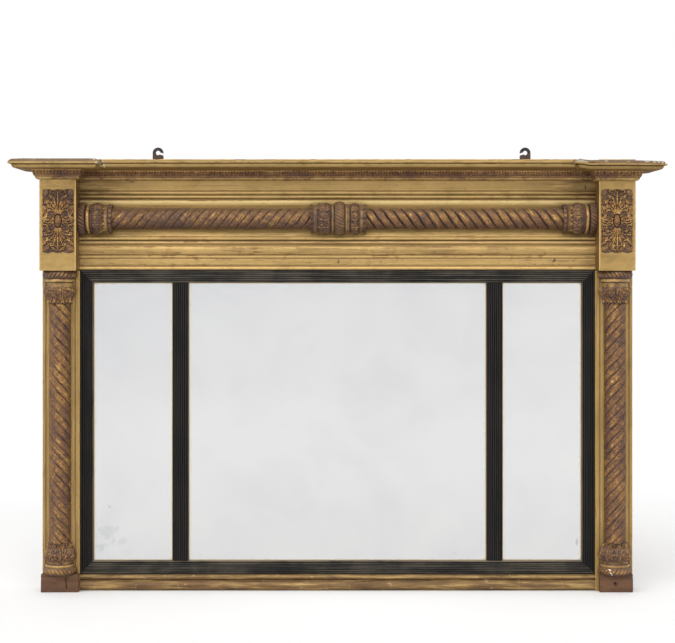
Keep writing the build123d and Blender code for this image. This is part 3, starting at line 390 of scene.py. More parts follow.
def gilding(name, run="x", gesso=(), cracks=None, dull=0.0, bright=0.0, worn=0.0,
            painted_reflection=None, ends=0.0, sides=0.0, crest=0.45, dusty=(0.80, 0.98), nicks=(), quirk=0.80):
    """Old water gilding: toned gold, rubbed edges, dirt and painted shade in the hollows, painted shade on the
    undersides.
    """
    s = Shader(name)
    long, fine = {"x": ((3.0, 70.0, 330.0), (9.0, 300.0, 900.0)),
                  "z": ((330.0, 70.0, 3.0), (900.0, 300.0, 9.0)),
                  "n": ((26.0, 26.0, 60.0), (260.0, 260.0, 420.0))}[run]
    streak = s.noise(long, 4.0, 0.6, 0.25)
    hair = s.noise(fine, 3.0, 0.6)
    patch = s.noise(11.0, 4.0, 0.6, 0.4, 3.1)
    blotch = s.noise(47.0, 4.0, 0.65, 0.3, 7.7)
    grain = s.noise(640.0, 3.0, 0.6, 0.0, 1.3)
    edge = s.attr("edge")
    tone = s.add(s.mul(streak, 0.45), s.add(s.mul(patch, 0.35), s.mul(blotch, 0.20)))
    # dull brown streaks that run with the work
    k = 1.0 + 0.10 * bright
    smear = s.noise({"x": (9.0, 60.0, 190.0), "z": (190.0, 60.0, 9.0), "n": (26.0, 26.0, 60.0)}[run], 6.0, 0.72, 0.5, 6.6)
    spell = s.step(s.noise({"x": (2.2, 9.0, 14.0), "z": (14.0, 9.0, 2.2), "n": (8.0, 8.0, 8.0)}[run], 2.0, 0.5, 0.0, 2.9),
                   0.40, 0.60, 0.35, 1.0)
    col = s.ramp(tone, [(0.32, C((146 - 14 * dull) * k, (118 - 12 * dull) * k, (66 - 9 * dull) * k)),
                        (0.46, C((178 - 10 * dull) * k, (147 - 10 * dull) * k, (90 - 11 * dull) * k)),
                        (0.56, C((192 - 6 * dull) * k, (158 - 6 * dull) * k, (98 - 7 * dull) * k)),
                        (0.70, C(214 * k, 181 * k, 118 * k))])
    # brown streaks where the leaf has thinned
    thin = s.mul(s.step(s.add(s.mul(streak, 0.6), s.mul(blotch, 0.4)), 0.56 - 0.05 * worn, 0.66 - 0.05 * worn),
                 s.step(hair, 0.35, 0.6))
    col = s.mix(s.mul(thin, 0.55 + 0.25 * worn), col, C(122, 88, 48))
    brown_darkening = s.mul(s.step(s.add(s.mul(smear, 0.8), s.mul(blotch, 0.2)), 0.535 - 0.03 * worn, 0.60 - 0.03 * worn), spell)
    col = s.mix(s.mul(brown_darkening, 0.42 + 0.14 * worn), col, C(120, 92, 50))
    # small dark pits
    pit = s.step(s.noise(210.0, 2.0, 0.5, 0.2, 9.2), 0.70, 0.76)
    col = s.mix(s.mul(pit, 0.7), col, C(76, 52, 30))
    # rubbed bright crests, and the red-brown ground at the sharpest of them
    rub = s.mul(s.step(edge, 0.56, 0.80), s.step(s.add(blotch, s.mul(hair, 0.4)), 0.45, 0.75))
    col = s.mix(s.mul(rub, crest), col, C(228, 194, 124))
    if ends:      # browner and darker towards the piers
        far = s.step(s.math("ABSOLUTE", s.x), 0.36, 0.535)
        col = s.mix(s.mul(s.mul(far, s.step(smear, 0.38, 0.56)), ends), col, C(84, 58, 32))
    if painted_reflection:      # painted reflection: bright clean leaf along the top of the hollow
        a = s.mul(s.step(s.z, painted_reflection[0], painted_reflection[1]), s.step(s.add(s.mul(streak, 0.6), s.mul(blotch, 0.4)), 0.38, 0.50, 0.70, 1.0))
        col = s.mix(s.mul(a, 0.85), col, C(255, 226, 158))
    if nicks:
        col = s.mix(s.mul(s.near(nicks, 0.4, 420.0), 0.9), col, C(46, 30, 18))
    if sides:
        # painted shade: the side faces are turned browner
        side_face_shade = s.step(s.math("ABSOLUTE", s.nx), 0.6, 0.95)
        col = s.mix(s.mul(side_face_shade, sides), col, s.ramp(tone, [(0.35, C(84, 52, 34)), (0.60, C(128, 84, 52))]))
    ground = s.mul(s.step(edge, 0.62, 0.9), s.step(s.add(s.mul(patch, 0.5), s.mul(blotch, 0.5)), 0.54, 0.62))
    col = s.mix(s.mul(ground, 0.6 + 0.2 * worn), col, C(128, 86, 52))
    # dirt and painted shade in the hollows and quirks
    dirt_and_shade = s.step(s.add(edge, s.mul(s.add(blotch, -0.5), 0.30)), 0.40, 0.12)
    col = s.mix(s.mul(dirt_and_shade, quirk), col, C(88, 62, 34))
    # painted shade: undersides toned darker brown; dusty tops
    underside_shade = s.step(s.nz, -0.66, -0.97)
    col = s.mix(s.mul(underside_shade, 0.70), col, C(96, 68, 40))
    dust = s.mul(s.step(s.nz, dusty[0], dusty[1]), s.step(blotch, 0.3, 0.55, 0.45, 1.0))
    col = s.mix(s.mul(dust, 0.80), col, C(110, 88, 70))
    matte = s.mx(s.mx(dirt_and_shade, s.mul(dust, 0.9)), s.mx(s.mul(s.mx(thin, brown_darkening), 0.6), underside_shade))
    s.set(Specular_IOR_Level=s.add(0.5, s.mul(underside_shade, -0.47)))
    crack = None
    if cracks:
        pitch, width = cracks
        u = s.mul(s.add(s.x, s.mul(s.add(s.noise((14.0, 14.0, 30.0), 2.0, 0.5, 0.0, 2.0), -0.5), 0.010)), 1.0 / pitch)
        f = s.math("ABSOLUTE", s.add(s.math("FRACT", s.add(u, 100.23)), -0.5))
        crack = s.mul(s.step(f, width / pitch, width / pitch * 0.3), s.step(s.noise((8.0, 8.0, 90.0), 2.0), 0.42, 0.52))
        col = s.mix(s.mul(crack, 0.75), col, s.ramp(blotch, [(0.40, C(84, 60, 40)), (0.46, C(208, 186, 138))]))
        paint = s.step(s.noise((26.0, 60.0, 160.0), 5.0, 0.7, 0.5, 12.0), 0.45, 0.52)
        col = s.mix(s.mul(paint, 0.60), col, s.ramp(patch, [(0.42, C(96, 68, 46)), (0.56, C(140, 112, 66))]))
        bands = s.noise((11.0, 50.0, 150.0), 5.0, 0.70, 0.15, 15.0)
        col = s.mix(0.52, col, s.ramp(bands, [(0.40, C(78, 54, 38)), (0.48, C(116, 88, 56)), (0.54, C(140, 110, 68)), (0.62, C(198, 166, 106))]))
        chip = s.step(s.noise((60.0, 90.0, 160.0), 4.0, 0.7, 0.2, 14.0), 0.64, 0.68)
        col = s.mix(s.mul(chip, 0.7), col, C(206, 182, 140))
    if gesso:
        g = s.near(gesso)
        col = s.mix(s.mul(g, 0.70), col, s.ramp(blotch, [(0.35, C(150, 136, 116)), (0.62, C(214, 206, 190))]))
        matte = s.mx(matte, g)
    s.set(Base_Color=col, IOR=1.5)
    s.set(Metallic=s.mul(s.add(s.mul(matte, -0.85), 1.0), 0.55),
          Roughness=s.add(s.add(s.mul(tone, -0.20), 0.52), s.mul(matte, 0.28)))
    h = s.add(s.mul(streak, 0.45), s.add(s.mul(hair, 0.25), s.mul(grain, 0.20)))
    h = s.add(h, s.mul(s.mx(s.mx(pit, thin), s.mul(brown_darkening, 0.8)), -0.40))
    if crack is not None:
        h = s.add(h, s.mul(crack, -0.8))
    s.set(Normal=s.bump(h, 0.55, 0.0006))
    return s.m


def compo(name, gesso=(), lift=0.0, speckle=0.40):
    """Bronzed composition over carved wood: dark in the hollows, tan and gold
    on the crests, dusty above, painted purple-brown shade below, gilt where 'gilt' is 1."""
    s = Shader(name)
    edge, gilt = s.attr("edge"), s.attr("gilt")
    patch = s.noise(17.0, 4.0, 0.6, 0.4, 2.0)
    blotch = s.noise(75.0, 4.0, 0.65, 0.3, 5.0)
    grain = s.noise(700.0, 3.0, 0.6, 0.0, 8.0)
    fleck = s.noise(260.0, 3.0, 0.6, 0.2, 4.0)
    h = s.add(edge, s.add(s.mul(s.add(patch, -0.5), 0.55), s.mul(s.add(blotch, -0.5), 0.50)))
    h = s.add(h, s.add(s.mul(s.add(fleck, -0.5), speckle), lift))
    col = s.ramp(h, [(0.05, C(46, 29, 22)), (0.30, C(90, 60, 37)), (0.48, C(126, 88, 50)),
                     (0.66, C(162, 120, 68)), (0.92, C(214, 172, 106))])
    # olive where the old gold shows through, purple-brown where it is bronzed over
    olive = s.step(s.add(s.mul(patch, 0.6), s.mul(blotch, 0.4)), 0.50, 0.64)
    col = s.mix(s.mul(olive, 0.35), col, s.ramp(h, [(0.2, C(80, 62, 32)), (0.6, C(148, 118, 60)), (0.9, C(208, 172, 98))]))
    plum = s.step(s.add(s.mul(patch, 0.6), s.mul(fleck, 0.4)), 0.48, 0.36)
    col = s.mix(s.mul(plum, 0.30), col, C(78, 48, 36))
    glint = s.mul(s.mul(s.step(fleck, 0.57, 0.68), s.step(edge, 0.44, 0.62)), s.step(patch, 0.42, 0.58))
    col = s.mix(s.mul(glint, 0.45), col, C(196, 156, 92))
    # painted shade: purple-brown on the undersides
    underside_shade = s.step(s.nz, 0.10, -0.70)
    col = s.mix(s.mul(underside_shade, 0.62), col, C(64, 42, 37))
    top = s.mul(s.step(s.nz, 0.28, 0.88), s.step(blotch, 0.26, 0.54))
    col = s.mix(s.mul(top, 0.66), col, C(122, 102, 80))
    tone = s.add(s.mul(patch, 0.5), s.mul(blotch, 0.5))
    gold = s.ramp(s.add(tone, s.mul(s.add(edge, -0.5), 0.35)),
                  [(0.30, C(120, 86, 46)), (0.45, C(176, 140, 78)), (0.58, C(206, 170, 102)), (0.75, C(232, 202, 140))])
    gold = s.mix(s.mul(s.step(edge, 0.42, 0.22), 0.80), gold, C(84, 58, 36))
    rubbed = s.mul(gilt, s.step(s.add(s.mul(blotch, 0.6), s.mul(fleck, 0.4)), 0.34, 0.50))
    col = s.mix(rubbed, col, gold)
    matte = s.step(h, 0.55, 0.25)
    if gesso:
        g = s.near(gesso, 0.5, 160.0)
        col = s.mix(g, col, C(214, 206, 192))
        matte = s.mx(matte, g)
    s.set(Base_Color=col, IOR=1.5)
    s.set(Metallic=s.mul(s.add(s.mul(matte, -0.8), 1.0), 0.45),
          Roughness=s.add(s.add(s.mul(h, -0.20), 0.58), s.mul(gilt, -0.08)))
    b = s.add(s.mul(blotch, 0.5), s.mul(grain, 0.3))
    s.set(Normal=s.bump(b, 0.6, 0.0006))
    return s.m


def ebony(name, run="x"):
    """Ebonised pear wood, rubbed brown on the reeds, with painted highlight on the across reeds and painted shade in
    the grooves.
    """
    s = Shader(name)
    edge, lip = s.attr("edge"), s.attr("gilt")
    long = {"x": (6.0, 120.0, 420.0), "z": (420.0, 120.0, 6.0)}[run]
    streak = s.noise(long, 4.0, 0.6, 0.15)
    patch = s.noise(19.0, 3.0, 0.6, 0.3, 4.0)
    grain = s.noise(560.0, 2.0, 0.5)
    rub = s.mul(s.step(edge, 0.52, 0.78), s.step(s.add(s.mul(streak, 0.6), s.mul(patch, 0.4)), 0.40, 0.62))
    # the across slips get far lighter rubbed reeds than the uprights: wear, plus painted highlight where the reeds face
    # up to the light
    dark, mid, worn = ((C(15, 14, 13), C(30, 28, 24), C(98, 90, 78)) if run == "x"
                       else (C(13, 12, 12), C(22, 20, 20), C(54, 48, 42)))
    col = s.ramp(streak, [(0.35, dark), (0.65, mid)])
    col = s.mix(s.mul(rub, 0.55 if run == "x" else 0.22), col, worn)
    # painted shade: near-black in the grooves between the reeds
    col = s.mix(s.step(edge, 0.40, 0.22), col, C(6, 5, 5))
    bare = s.mul(lip, s.step(s.add(s.mul(streak, 0.5), s.mul(patch, 0.5)), 0.30, 0.50))
    col = s.mix(s.mul(bare, 0.9), col, s.ramp(streak, [(0.3, C(104, 90, 72)), (0.7, C(138, 122, 100))]))
    s.set(Base_Color=col, IOR=1.33, Metallic=0.0)
    s.set(Roughness=s.add(s.mul(streak, 0.18), s.add(0.30, s.mul(bare, 0.25))))
    s.set(Normal=s.bump(s.add(s.mul(streak, 0.7), s.mul(grain, 0.25)), 0.35, 0.0004))
    return s.m


def wood(name, run, light, dark, rough=0.75, rings=34.0, stain=0.5, smudge=()):
    """Old sawn wood with its grain along one axis."""
    s = Shader(name)
    k = {"x": (1.6, rings, rings), "y": (rings, 1.6, rings), "z": (rings, rings, 1.6)}[run]
    f = {"x": (9.0, 420.0, 420.0), "y": (420.0, 9.0, 420.0), "z": (420.0, 420.0, 9.0)}[run]
    bands = s.noise(k, 3.0, 0.5, 1.2)
    fibre = s.noise(f, 3.0, 0.6)
    lines = s.math("FRACT", s.mul(bands, 9.0))
    late = s.step(s.math("ABSOLUTE", s.add(lines, -0.5)), 0.10, 0.42)
    patch = s.noise(8.0, 4.0, 0.6, 0.3, 6.0)
    col = s.mix(s.add(s.mul(late, 0.55), s.mul(fibre, 0.35)), light, dark)
    col = s.mix(s.mul(s.step(patch, 0.50, 0.70), stain), col, C(62, 44, 30))
    if smudge:
        col = s.mix(s.mul(s.near(smudge, 0.8, 200.0), 0.6), col, C(44, 27, 18))
    s.set(Base_Color=col, IOR=1.45, Metallic=0.0, Roughness=rough)
    s.set(Normal=s.bump(s.add(s.mul(fibre, 0.6), s.mul(late, 0.3)), 0.5, 0.0005))
    return s.m


def silvering():
    """Old mirror plate: pale silvering, faint bluish smoke, cream margins."""
    s = Shader("old_silvering")
    cloud = s.noise((5.0, 5.0, 5.0), 4.0, 0.6, 0.6, 1.0)
    smoke = s.noise((16.0, 16.0, 16.0), 4.0, 0.62, 0.8, 6.0)
    fine = s.noise(90.0, 3.0, 0.6, 0.2, 3.0)
    col = s.ramp(s.add(s.mul(cloud, 0.7), s.mul(smoke, 0.3)),
                 [(0.35, C(213, 213, 215)), (0.5, C(218, 218, 219)), (0.65, C(221, 221, 221))])
    # painted reflection: the plate is a little greyer towards the upper left
    col = s.mix(s.mul(s.step(s.add(s.mul(s.z, 1.3), s.mul(s.x, -0.55)), 0.62, 1.10), 0.45), col, C(206, 207, 210))
    # bluish smoke low on the left plate and thinly elsewhere
    low = s.near([(-0.484, 0.05, 0.120, 0.028, 0.2, 0.014), (-0.464, 0.05, 0.098, 0.022, 0.2, 0.012),
                  (-0.502, 0.05, 0.088, 0.010, 0.2, 0.012), (-0.448, 0.05, 0.082, 0.014, 0.2, 0.008)], 1.3, 60.0)
    low = s.mul(low, s.step(s.noise((44.0, 44.0, 44.0), 5.0, 0.68, 0.6, 2.9), 0.36, 0.56))
    faint = s.mul(s.step(smoke, 0.55, 0.80), 0.16)
    col = s.mix(s.mx(s.mul(low, 0.50), faint), col, C(186, 189, 191))
    spots = s.near([(-0.4815, 0.05, 0.1745, 0.0022, 0.2, 0.0030), (0.2470, 0.05, 0.0775, 0.0016, 0.2, 0.0016),
                    (0.5055, 0.05, 0.100, 0.0030, 0.2, 0.008), (0.085, 0.05, 0.331, 0.0012, 0.2, 0.0012)], 0.4, 400.0)
    col = s.mix(s.mul(spots, 0.6), col, C(170, 166, 160))
    # cream margin where the silver has gone, wider at the upright sides
    ax = s.math("ABSOLUTE", s.x)
    dx = s.math("MINIMUM", s.math("ABSOLUTE", s.add(ax, -(DIV_X + 17.2) / 1000)),
                s.math("MINIMUM", s.math("ABSOLUTE", s.add(ax, -(DIV_X - 17.2) / 1000)),
                       s.math("ABSOLUTE", s.add(ax, -(BOARD_IN - 27.0) / 1000))))
    top = s.math("ABSOLUTE", s.add(s.z, -0.6472))
    low_d = s.math("ABSOLUTE", s.add(s.z, -0.0619))
    inv = s.add(s.math("DIVIDE", 0.0000042, s.add(s.mul(dx, dx), 0.0000004)),
                s.add(s.math("DIVIDE", 0.0000016, s.add(s.mul(top, top), 0.0000004)),
                      s.math("DIVIDE", 0.0000010, s.add(s.mul(low_d, low_d), 0.0000004))))
    wob = s.add(s.mul(s.add(fine, -0.5), 0.55), s.mul(s.add(smoke, -0.5), 0.8))
    margin = s.step(s.add(inv, wob), 0.20, 0.62)
    col = s.mix(s.mul(margin, 0.9), col, C(226, 213, 184))
    brown = s.step(s.add(inv, wob), 0.9, 2.2)
    col = s.mix(s.mul(brown, 0.45), col, C(170, 146, 106))
    s.set(Base_Color=col, IOR=1.5)
    s.set(Metallic=s.add(0.96, s.mul(margin, -0.42)), Coat_Weight=0.6, Coat_Roughness=0.03)
    s.set(Roughness=s.add(0.05, s.add(s.mul(smoke, 0.05), s.mul(margin, 0.30))))
    s.set(Normal=s.bump(s.add(s.mul(cloud, 0.8), s.mul(smoke, 0.1)), 0.05, 0.002))
    return s.m


def iron():
    s = Shader("old_iron")
    patch = s.noise(120.0, 4.0, 0.65, 0.4)
    fine = s.noise(900.0, 3.0, 0.6)
    rust = s.step(s.add(s.mul(patch, 0.7), s.mul(fine, 0.3)), 0.44, 0.60)
    low = s.step(s.z, 0.930, 0.912)
    col = s.ramp(patch, [(0.3, C(44, 42, 42)), (0.7, C(74, 70, 68))])
    col = s.mix(s.mul(s.mx(s.mul(rust, 0.5), s.mul(low, 0.7)), 0.75), col, C(96, 72, 54))
    s.set(Base_Color=col, IOR=1.5)
    s.set(Metallic=s.add(0.75, s.mul(rust, -0.5)), Roughness=s.add(0.42, s.mul(rust, 0.3)))
    s.set(Normal=s.bump(s.add(s.mul(patch, 0.6), s.mul(fine, 0.4)), 0.5, 0.0004))
    return s.m


GILT_X = gilding("toned_gilding_long", "x")
GILT_HOLLOW = gilding("toned_gilding_hollow_painted_reflection", "x", bright=-0.3, worn=0.3, painted_reflection=(0.8085, 0.8180), ends=0.75)
# a darker, duller copy of the gilding for the upper frieze: painted shade under the cornice; the nicks are real
GILT_UPPER_SHADED = gilding("toned_gilding_upper_painted_shade", "x", dull=0.8, bright=-1.1, worn=0.3, ends=0.80, crest=0.25,
                     nicks=[(0.5221, 0.03, 0.8485, 0.0016, 0.05, 0.0056), (0.0895, 0.03, 0.8500, 0.0012, 0.05, 0.0012),
                            (-0.4330, 0.03, 0.8600, 0.0070, 0.05, 0.0011), (0.1240, 0.03, 0.8525, 0.0010, 0.05, 0.0010)])
GILT_LOWER = gilding("toned_gilding_lower", "x", worn=1.4, bright=-0.3, ends=0.25, crest=0.30,
                     nicks=[(0.0021, 0.03, 0.6929, 0.0010, 0.05, 0.0044), (0.0010, 0.03, 0.6900, 0.0022, 0.05, 0.0012),
                            (0.4362, 0.03, 0.7091, 0.0016, 0.05, 0.0016), (0.4574, 0.03, 0.6950, 0.0018, 0.05, 0.0038), (0.4545, 0.03, 0.6925, 0.0018, 0.05, 0.0022),
                            (0.2040, 0.03, 0.7120, 0.0024, 0.05, 0.0010), (-0.3360, 0.03, 0.7105, 0.0090, 0.05, 0.0009),
                            (-0.1000, 0.03, 0.7080, 0.0140, 0.05, 0.0008), (-0.1700, 0.03, 0.7120, 0.0110, 0.05, 0.0009)])
GILT_RAIL = gilding("worn_gilding_rail", "x", cracks=(0.0893, 0.0012), worn=2.2, dull=2.4, bright=-2.9, crest=0.55, quirk=0.30)
GILT_CORNICE = gilding("cornice_gilding", "x", worn=0.6, dull=0.8,
                       bright=-1.2,
                       gesso=[(-0.4855, -0.020, 0.8985, 0.0035, 0.03, 0.0026), (-0.4845, -0.012, 0.8915, 0.0018, 0.02, 0.005),
                              (0.5075, -0.022, 0.9005, 0.011, 0.05, 0.0030)])
GILT_CORNICE_L = gilding("cornice_gilding_left", "n", worn=0.5, dusty=(0.22, 0.55), crest=0.2,
                         bright=-1.3, dull=1.2,
                         gesso=[(-0.4925, -0.045, 0.8940, 0.0035, 0.04, 0.0050), (-0.4975, -0.045, 0.9000, 0.0025, 0.04, 0.0016),
                                (-0.6215, -0.070, 0.9030, 0.005, 0.02, 0.0018), (-0.592, -0.070, 0.9030, 0.004, 0.02, 0.0014)])
GILT_CORNICE_R = gilding("cornice_gilding_right", "n", dusty=(0.22, 0.55), crest=0.2, worn=1.7, dull=2.0, bright=-1.7,
                         gesso=[(0.4960, -0.060, 0.8975, 0.0120, 0.06, 0.0026), (0.5080, -0.060, 0.8960, 0.0050, 0.06, 0.0016),
                                (0.6330, -0.060, 0.8960, 0.0060, 0.06, 0.0016), (0.6480, -0.060, 0.8955, 0.0036, 0.06, 0.0024),
                                (0.6560, -0.060, 0.8950, 0.0036, 0.06, 0.0024), (0.6640, -0.060, 0.8940, 0.0030, 0.06, 0.0022),
                                (0.5500, -0.060, 0.8970, 0.0040, 0.06, 0.0012), (0.5950, -0.060, 0.8965, 0.0030, 0.06, 0.0012)])
GILT_PIER = gilding("toned_gilding_pier", "n", dull=1.0, bright=-0.8, sides=0.65)
GILT_BOARD = gilding("toned_gilding_upright", "z", dull=1.0, worn=0.9, bright=-0.9, sides=0.3, crest=0.3)
COMPO = compo("bronzed_composition", lift=-0.10)
COMPO_DARK = compo("bronzed_composition_dark", lift=-0.08)
COMPO_ROPE = compo("bronzed_rope", lift=-0.09, speckle=0.50)
COMPO_SHAFT = compo("bronzed_shaft", lift=-0.09, speckle=0.55)
COMPO_RING = compo("bronzed_ring", lift=-0.14)
COMPO_PIER = compo("bronzed_panel", lift=0.0, speckle=0.22)
COMPO_BASE = compo("bronzed_foot", gesso=[(0.5660, -0.01, 0.0505, 0.0024, 0.02, 0.0016), (0.5680, -0.012, 0.0440, 0.0020, 0.02, 0.0022),
                                          (0.5700, -0.012, 0.0405, 0.0022, 0.02, 0.0016)])
EBONY_X, EBONY_Z = ebony("ebonised_across_painted_highlight", "x"), ebony("ebonised_upright", "z")
BARE = wood("bare_block_wood", "x", C(106, 72, 46), C(74, 48, 30), 0.68, 14.0, 0.7,
            [(0.5806, 0.01, 0.0190, 0.0030, 0.03, 0.0030), (0.5815, 0.01, 0.0175, 0.0056, 0.03, 0.0046)])
PINE_X = wood("old_pine_across", "x", C(168, 132, 90), C(120, 84, 52), 0.8)
PINE_Z = wood("old_pine_upright", "z", C(160, 124, 84), C(112, 78, 50), 0.8)
PLANK = wood("backboard_pine", "z", C(150, 116, 80), C(104, 74, 48), 0.85, 22.0, 0.8)
SILVER = silvering()
IRON = iron()


# --------------------------------------------------------- frieze mouldings
FB = -28.0
def moulding(name, node, points, path, material, slot="giltwood", **kw):
    V, quads, caps, attrs = sweep(points, path, **kw)
    return piece(name, V, quads, caps, material, [node] if isinstance(node, str) else node, attrs)


moulding("frieze_upper_gilt", "frieze_upper_moulding",
         [(FB, 894), (FRIEZE, 894), (FRIEZE, 841.6), (-9.2, 841.0), (-6.2, 836.8, -9.0, 832.6), (-9.4, 832.0),
          (-6.4, 828.0, -9.6, 824.2), (-11.2, 823.7), (-11.2, 820.5), (FB, 820.5)],
         along_x(-X_IN, X_IN), GILT_UPPER_SHADED, seg=3.6, wave=0.22, seed=11)
moulding("frieze_hollow_gilt", "frieze_hollow_board",
         [(FB, 820.5), (-9, 820.5), (-8.2, 820.0), (-16.0, 782.5, -8.2, 745.0), (-9, 744.5), (FB, 744.5)],
         along_x(-X_IN, X_IN), GILT_HOLLOW, seg=3.6, wave=0.20, seed=12)
moulding("frieze_lower_gilt", "frieze_lower_moulding",
         [(FB, 744.5), (-9.5, 744.5), (-6.3, 740.9, -9.5, 737.2), (-11.6, 736.7), (-11.6, 734.6), (-9.6, 734.2),
          (-9.4, 729.0), (-2.0, 717.2, -9.0, 705.2), (-7.0, 704.6), (-7.0, 700.2), (-9.2, 699.6), (-9.2, 698.4),
          (-8.5, 698.0), (-8.5, 685.4), (-10.4, 684.9), (-10.4, 682.5), (FB, 682.5)],
         along_x(-X_IN, X_IN), GILT_LOWER, seg=3.6, wave=0.22, seed=13)
moulding("sight_bead_gilt", "sight_bead",
         [(FB, 682.5), (-10.4, 682.5), (-10.0, 682.0), (-6.0, 678.4, -9.5, 675.0), (-10.5, 674.8), (FB, 674.8)],
         along_x(-X_IN, X_IN), GILT_X, seg=3.6, wave=0.2, seed=14)
moulding("bottom_rail_gilt", "bottom_rail_moulding",
         [(-12, 33), (-9, 33), (-4.4, 28.3, -9, 23.6), (-10.5, 23.2), (-10.5, 22.6), (-9, 22.2),
          (1.2, 11.6, -8.6, 1.0), (-12, 1.0)],
         along_x(-BOARD_IN, BOARD_IN), GILT_RAIL, seg=3.0, wave=0.35, seed=15)

# ------------------------------------------------------------------ cornice
CORNICE = [(0, 882.5), (13, 882.5), (27, 884.5), (41, 887.0), (46.9, 889.6, 48.6, 895.0), (47.4, 895.4),
           (47.4, 896.4), (55, 896.9), (55, 904), (0, 904)]
PIER_CORNICE = [(0, 882.5), (13, 882.5), (36, 882.7), (41, 883.6), (47.0, 885.8, 48.6, 890.4), (47.4, 890.8),
                (47.4, 892.0), (54.4, 892.5), (55, 893.3), (55, 896), (51.0, 900.4, 43.0, 902.6), (30, 904), (0, 904)]
BED = [(0, 862), (1.2, 862), (6.4, 864.8, 8.0, 869.0), (9.4, 869.4), (12.0, 875.6, 13.0, 882.5), (0, 882.5)]


def pier_path(side):
    def path(p):
        return [(side * (X_IN - p), FRIEZE + p), (side * (X_IN - p), BLOCK + p),
                (side * (X_OUT + p), BLOCK + p), (side * (X_OUT + p), BACK)]
    return path


def centre_path(p):
    return [(-X_IN + p, FRIEZE + p), (X_IN - p, FRIEZE + p)]


def chips(seed, amount=1.0, top_at=(55, 904), low_at=(55, 896.9)):
    """Bruised and dusty top arris, small losses along the lower edges."""
    def relief(s, run, Q, w):
        top = np.exp(-(((Q[:, 0] - top_at[0]) / 2.2) ** 2 + ((Q[:, 1] - top_at[1]) / 2.2) ** 2))
        arris = np.exp(-(((Q[:, 0] - low_at[0]) / 1.4) ** 2 + ((Q[:, 1] - low_at[1]) / 1.4) ** 2))
        a = ss(0.05, 0.75, fbm(s / 23.0, 1.3, seed, 4)) * 1.9 + 0.35
        b = ss(0.20, 0.80, fbm(s / 14.0, 7.9, seed + 5, 4)) * 1.3
        d = -(top * a + arris * b) * amount
        return d, -0.25 * (top * a + arris * b) * amount
    return relief


def leaves(pitch=6.0, seed=3):
    """Upright leaf and dart relief on the slanted face of the bed mould."""
    def relief(s, run, Q, w):
        v = (Q[:, 1] - 869.3) / 13.2
        face = ss(0.0, 0.10, v) * (1 - ss(0.92, 1.0, v)) * (Q[:, 0] > 9.5)
        q = s / pitch + 0.06 * noise(s / 31.0, 0.5, seed)
        u = ((q % 1.0) - 0.5) * 2
        width = 0.30 + 0.52 * np.sqrt(np.clip(v, 0, 1))
        leaf = np.sqrt(np.clip(1 - (u / width) ** 2, 0, 1))
        rib = math.exp(-(u / 0.13) ** 2)
        u2 = ((q + 0.5) % 1.0 - 0.5) * 2
        dart = np.sqrt(np.clip(1 - (u2 / (0.30 * (1 - np.clip(v, 0, 1)) + 0.10)) ** 2, 0, 1)) * 0.75
        h = np.maximum(leaf * (1 - 0.45 * rib), dart)
        worn = 1 - 0.5 * ss(0.2, 0.7, float(fbm(s / 40.0, 3.0, seed)))
        rough = fbm(s / 2.3, Q[:, 1] / 2.3, seed + 4)
        d = (h * 1.5 * worn - 1.2 + 0.35 * rough) * face
        return d, ((h - 0.62) * 0.42 * worn + 0.24 * rough) * face
    return relief


def bed_gilt(Q):
    return np.where(Q[:, 1] < 869.2, 0.45, 0.0)


moulding("cornice_centre_gilt", "cornice_centre", CORNICE, centre_path, GILT_CORNICE,
         seg=2.4, wave=0.25, seed=21, relief=chips(31, 1.0), step=2.0)
moulding("bed_mould_centre_leaf", "bed_mould_centre", BED, centre_path, COMPO_DARK, "gilt_compo",
         seg=0.75, wave=0.0, seed=22, relief=leaves(6.0, 3), step=0.95, corner=0.3, extra=bed_gilt)
for side, tag in ((-1, "left"), (1, "right")):
    V, quads, caps, attrs = sweep(PIER_CORNICE, pier_path(side), seg=2.0, wave=0.3, seed=23 + side,
                                  relief=chips(41 + side, 1.0 if side < 0 else 1.8, (53, 898), (55, 892.6)), step=1.6)
    if side > 0:      # the right one has sunk a little, and more towards its tip
        V[:, 2] -= 3.4 * ss(489, 520, V[:, 0]) + 1.8 * ss(570, 674, V[:, 0]) * ss(884, 902, V[:, 2])
    piece("cornice_pier_%s_gilt" % tag, V, quads, caps, GILT_CORNICE_L if side < 0 else GILT_CORNICE_R,
          ["cornice_pier_" + tag], attrs)
    V, quads, caps, attrs = sweep(BED, pier_path(side), seg=0.8, relief=leaves(6.0, 7 + side), step=0.95,
                                  corner=0.3, extra=bed_gilt)
    if side > 0:
        V[:, 2] -= 3.0
    piece("bed_mould_pier_%s_leaf" % tag, V, quads, caps, COMPO_DARK, ["bed_mould_pier_" + tag], attrs)

# ------------------------------------------------------- ebonised woodwork
REED, SLIP_W = 4.5, 27.0


def reeded(outer, direction):
    s = direction
    pts = [(outer + s * -1.3, -19.5), (outer + s * -1.3, -12.0), (outer, -12.0), (outer, -12.25)]
    for k in range(5):
        a = outer + s * REED * k
        pts.append((a + s * REED / 2, -10.0, a + s * REED, -12.25))
    lip = outer + s * 5 * REED
    return pts + [(lip + s * 0.4, -13.2), (lip + s * 0.9, -11.6), (lip + s * 2.6, -11.6),
                  (outer + s * SLIP_W, -13.4), (outer + s * SLIP_W, -19.5)]


Z0S, Z1S, MARGIN = 34.9, 674.2, 1.3
LIP_IN = SLIP_W


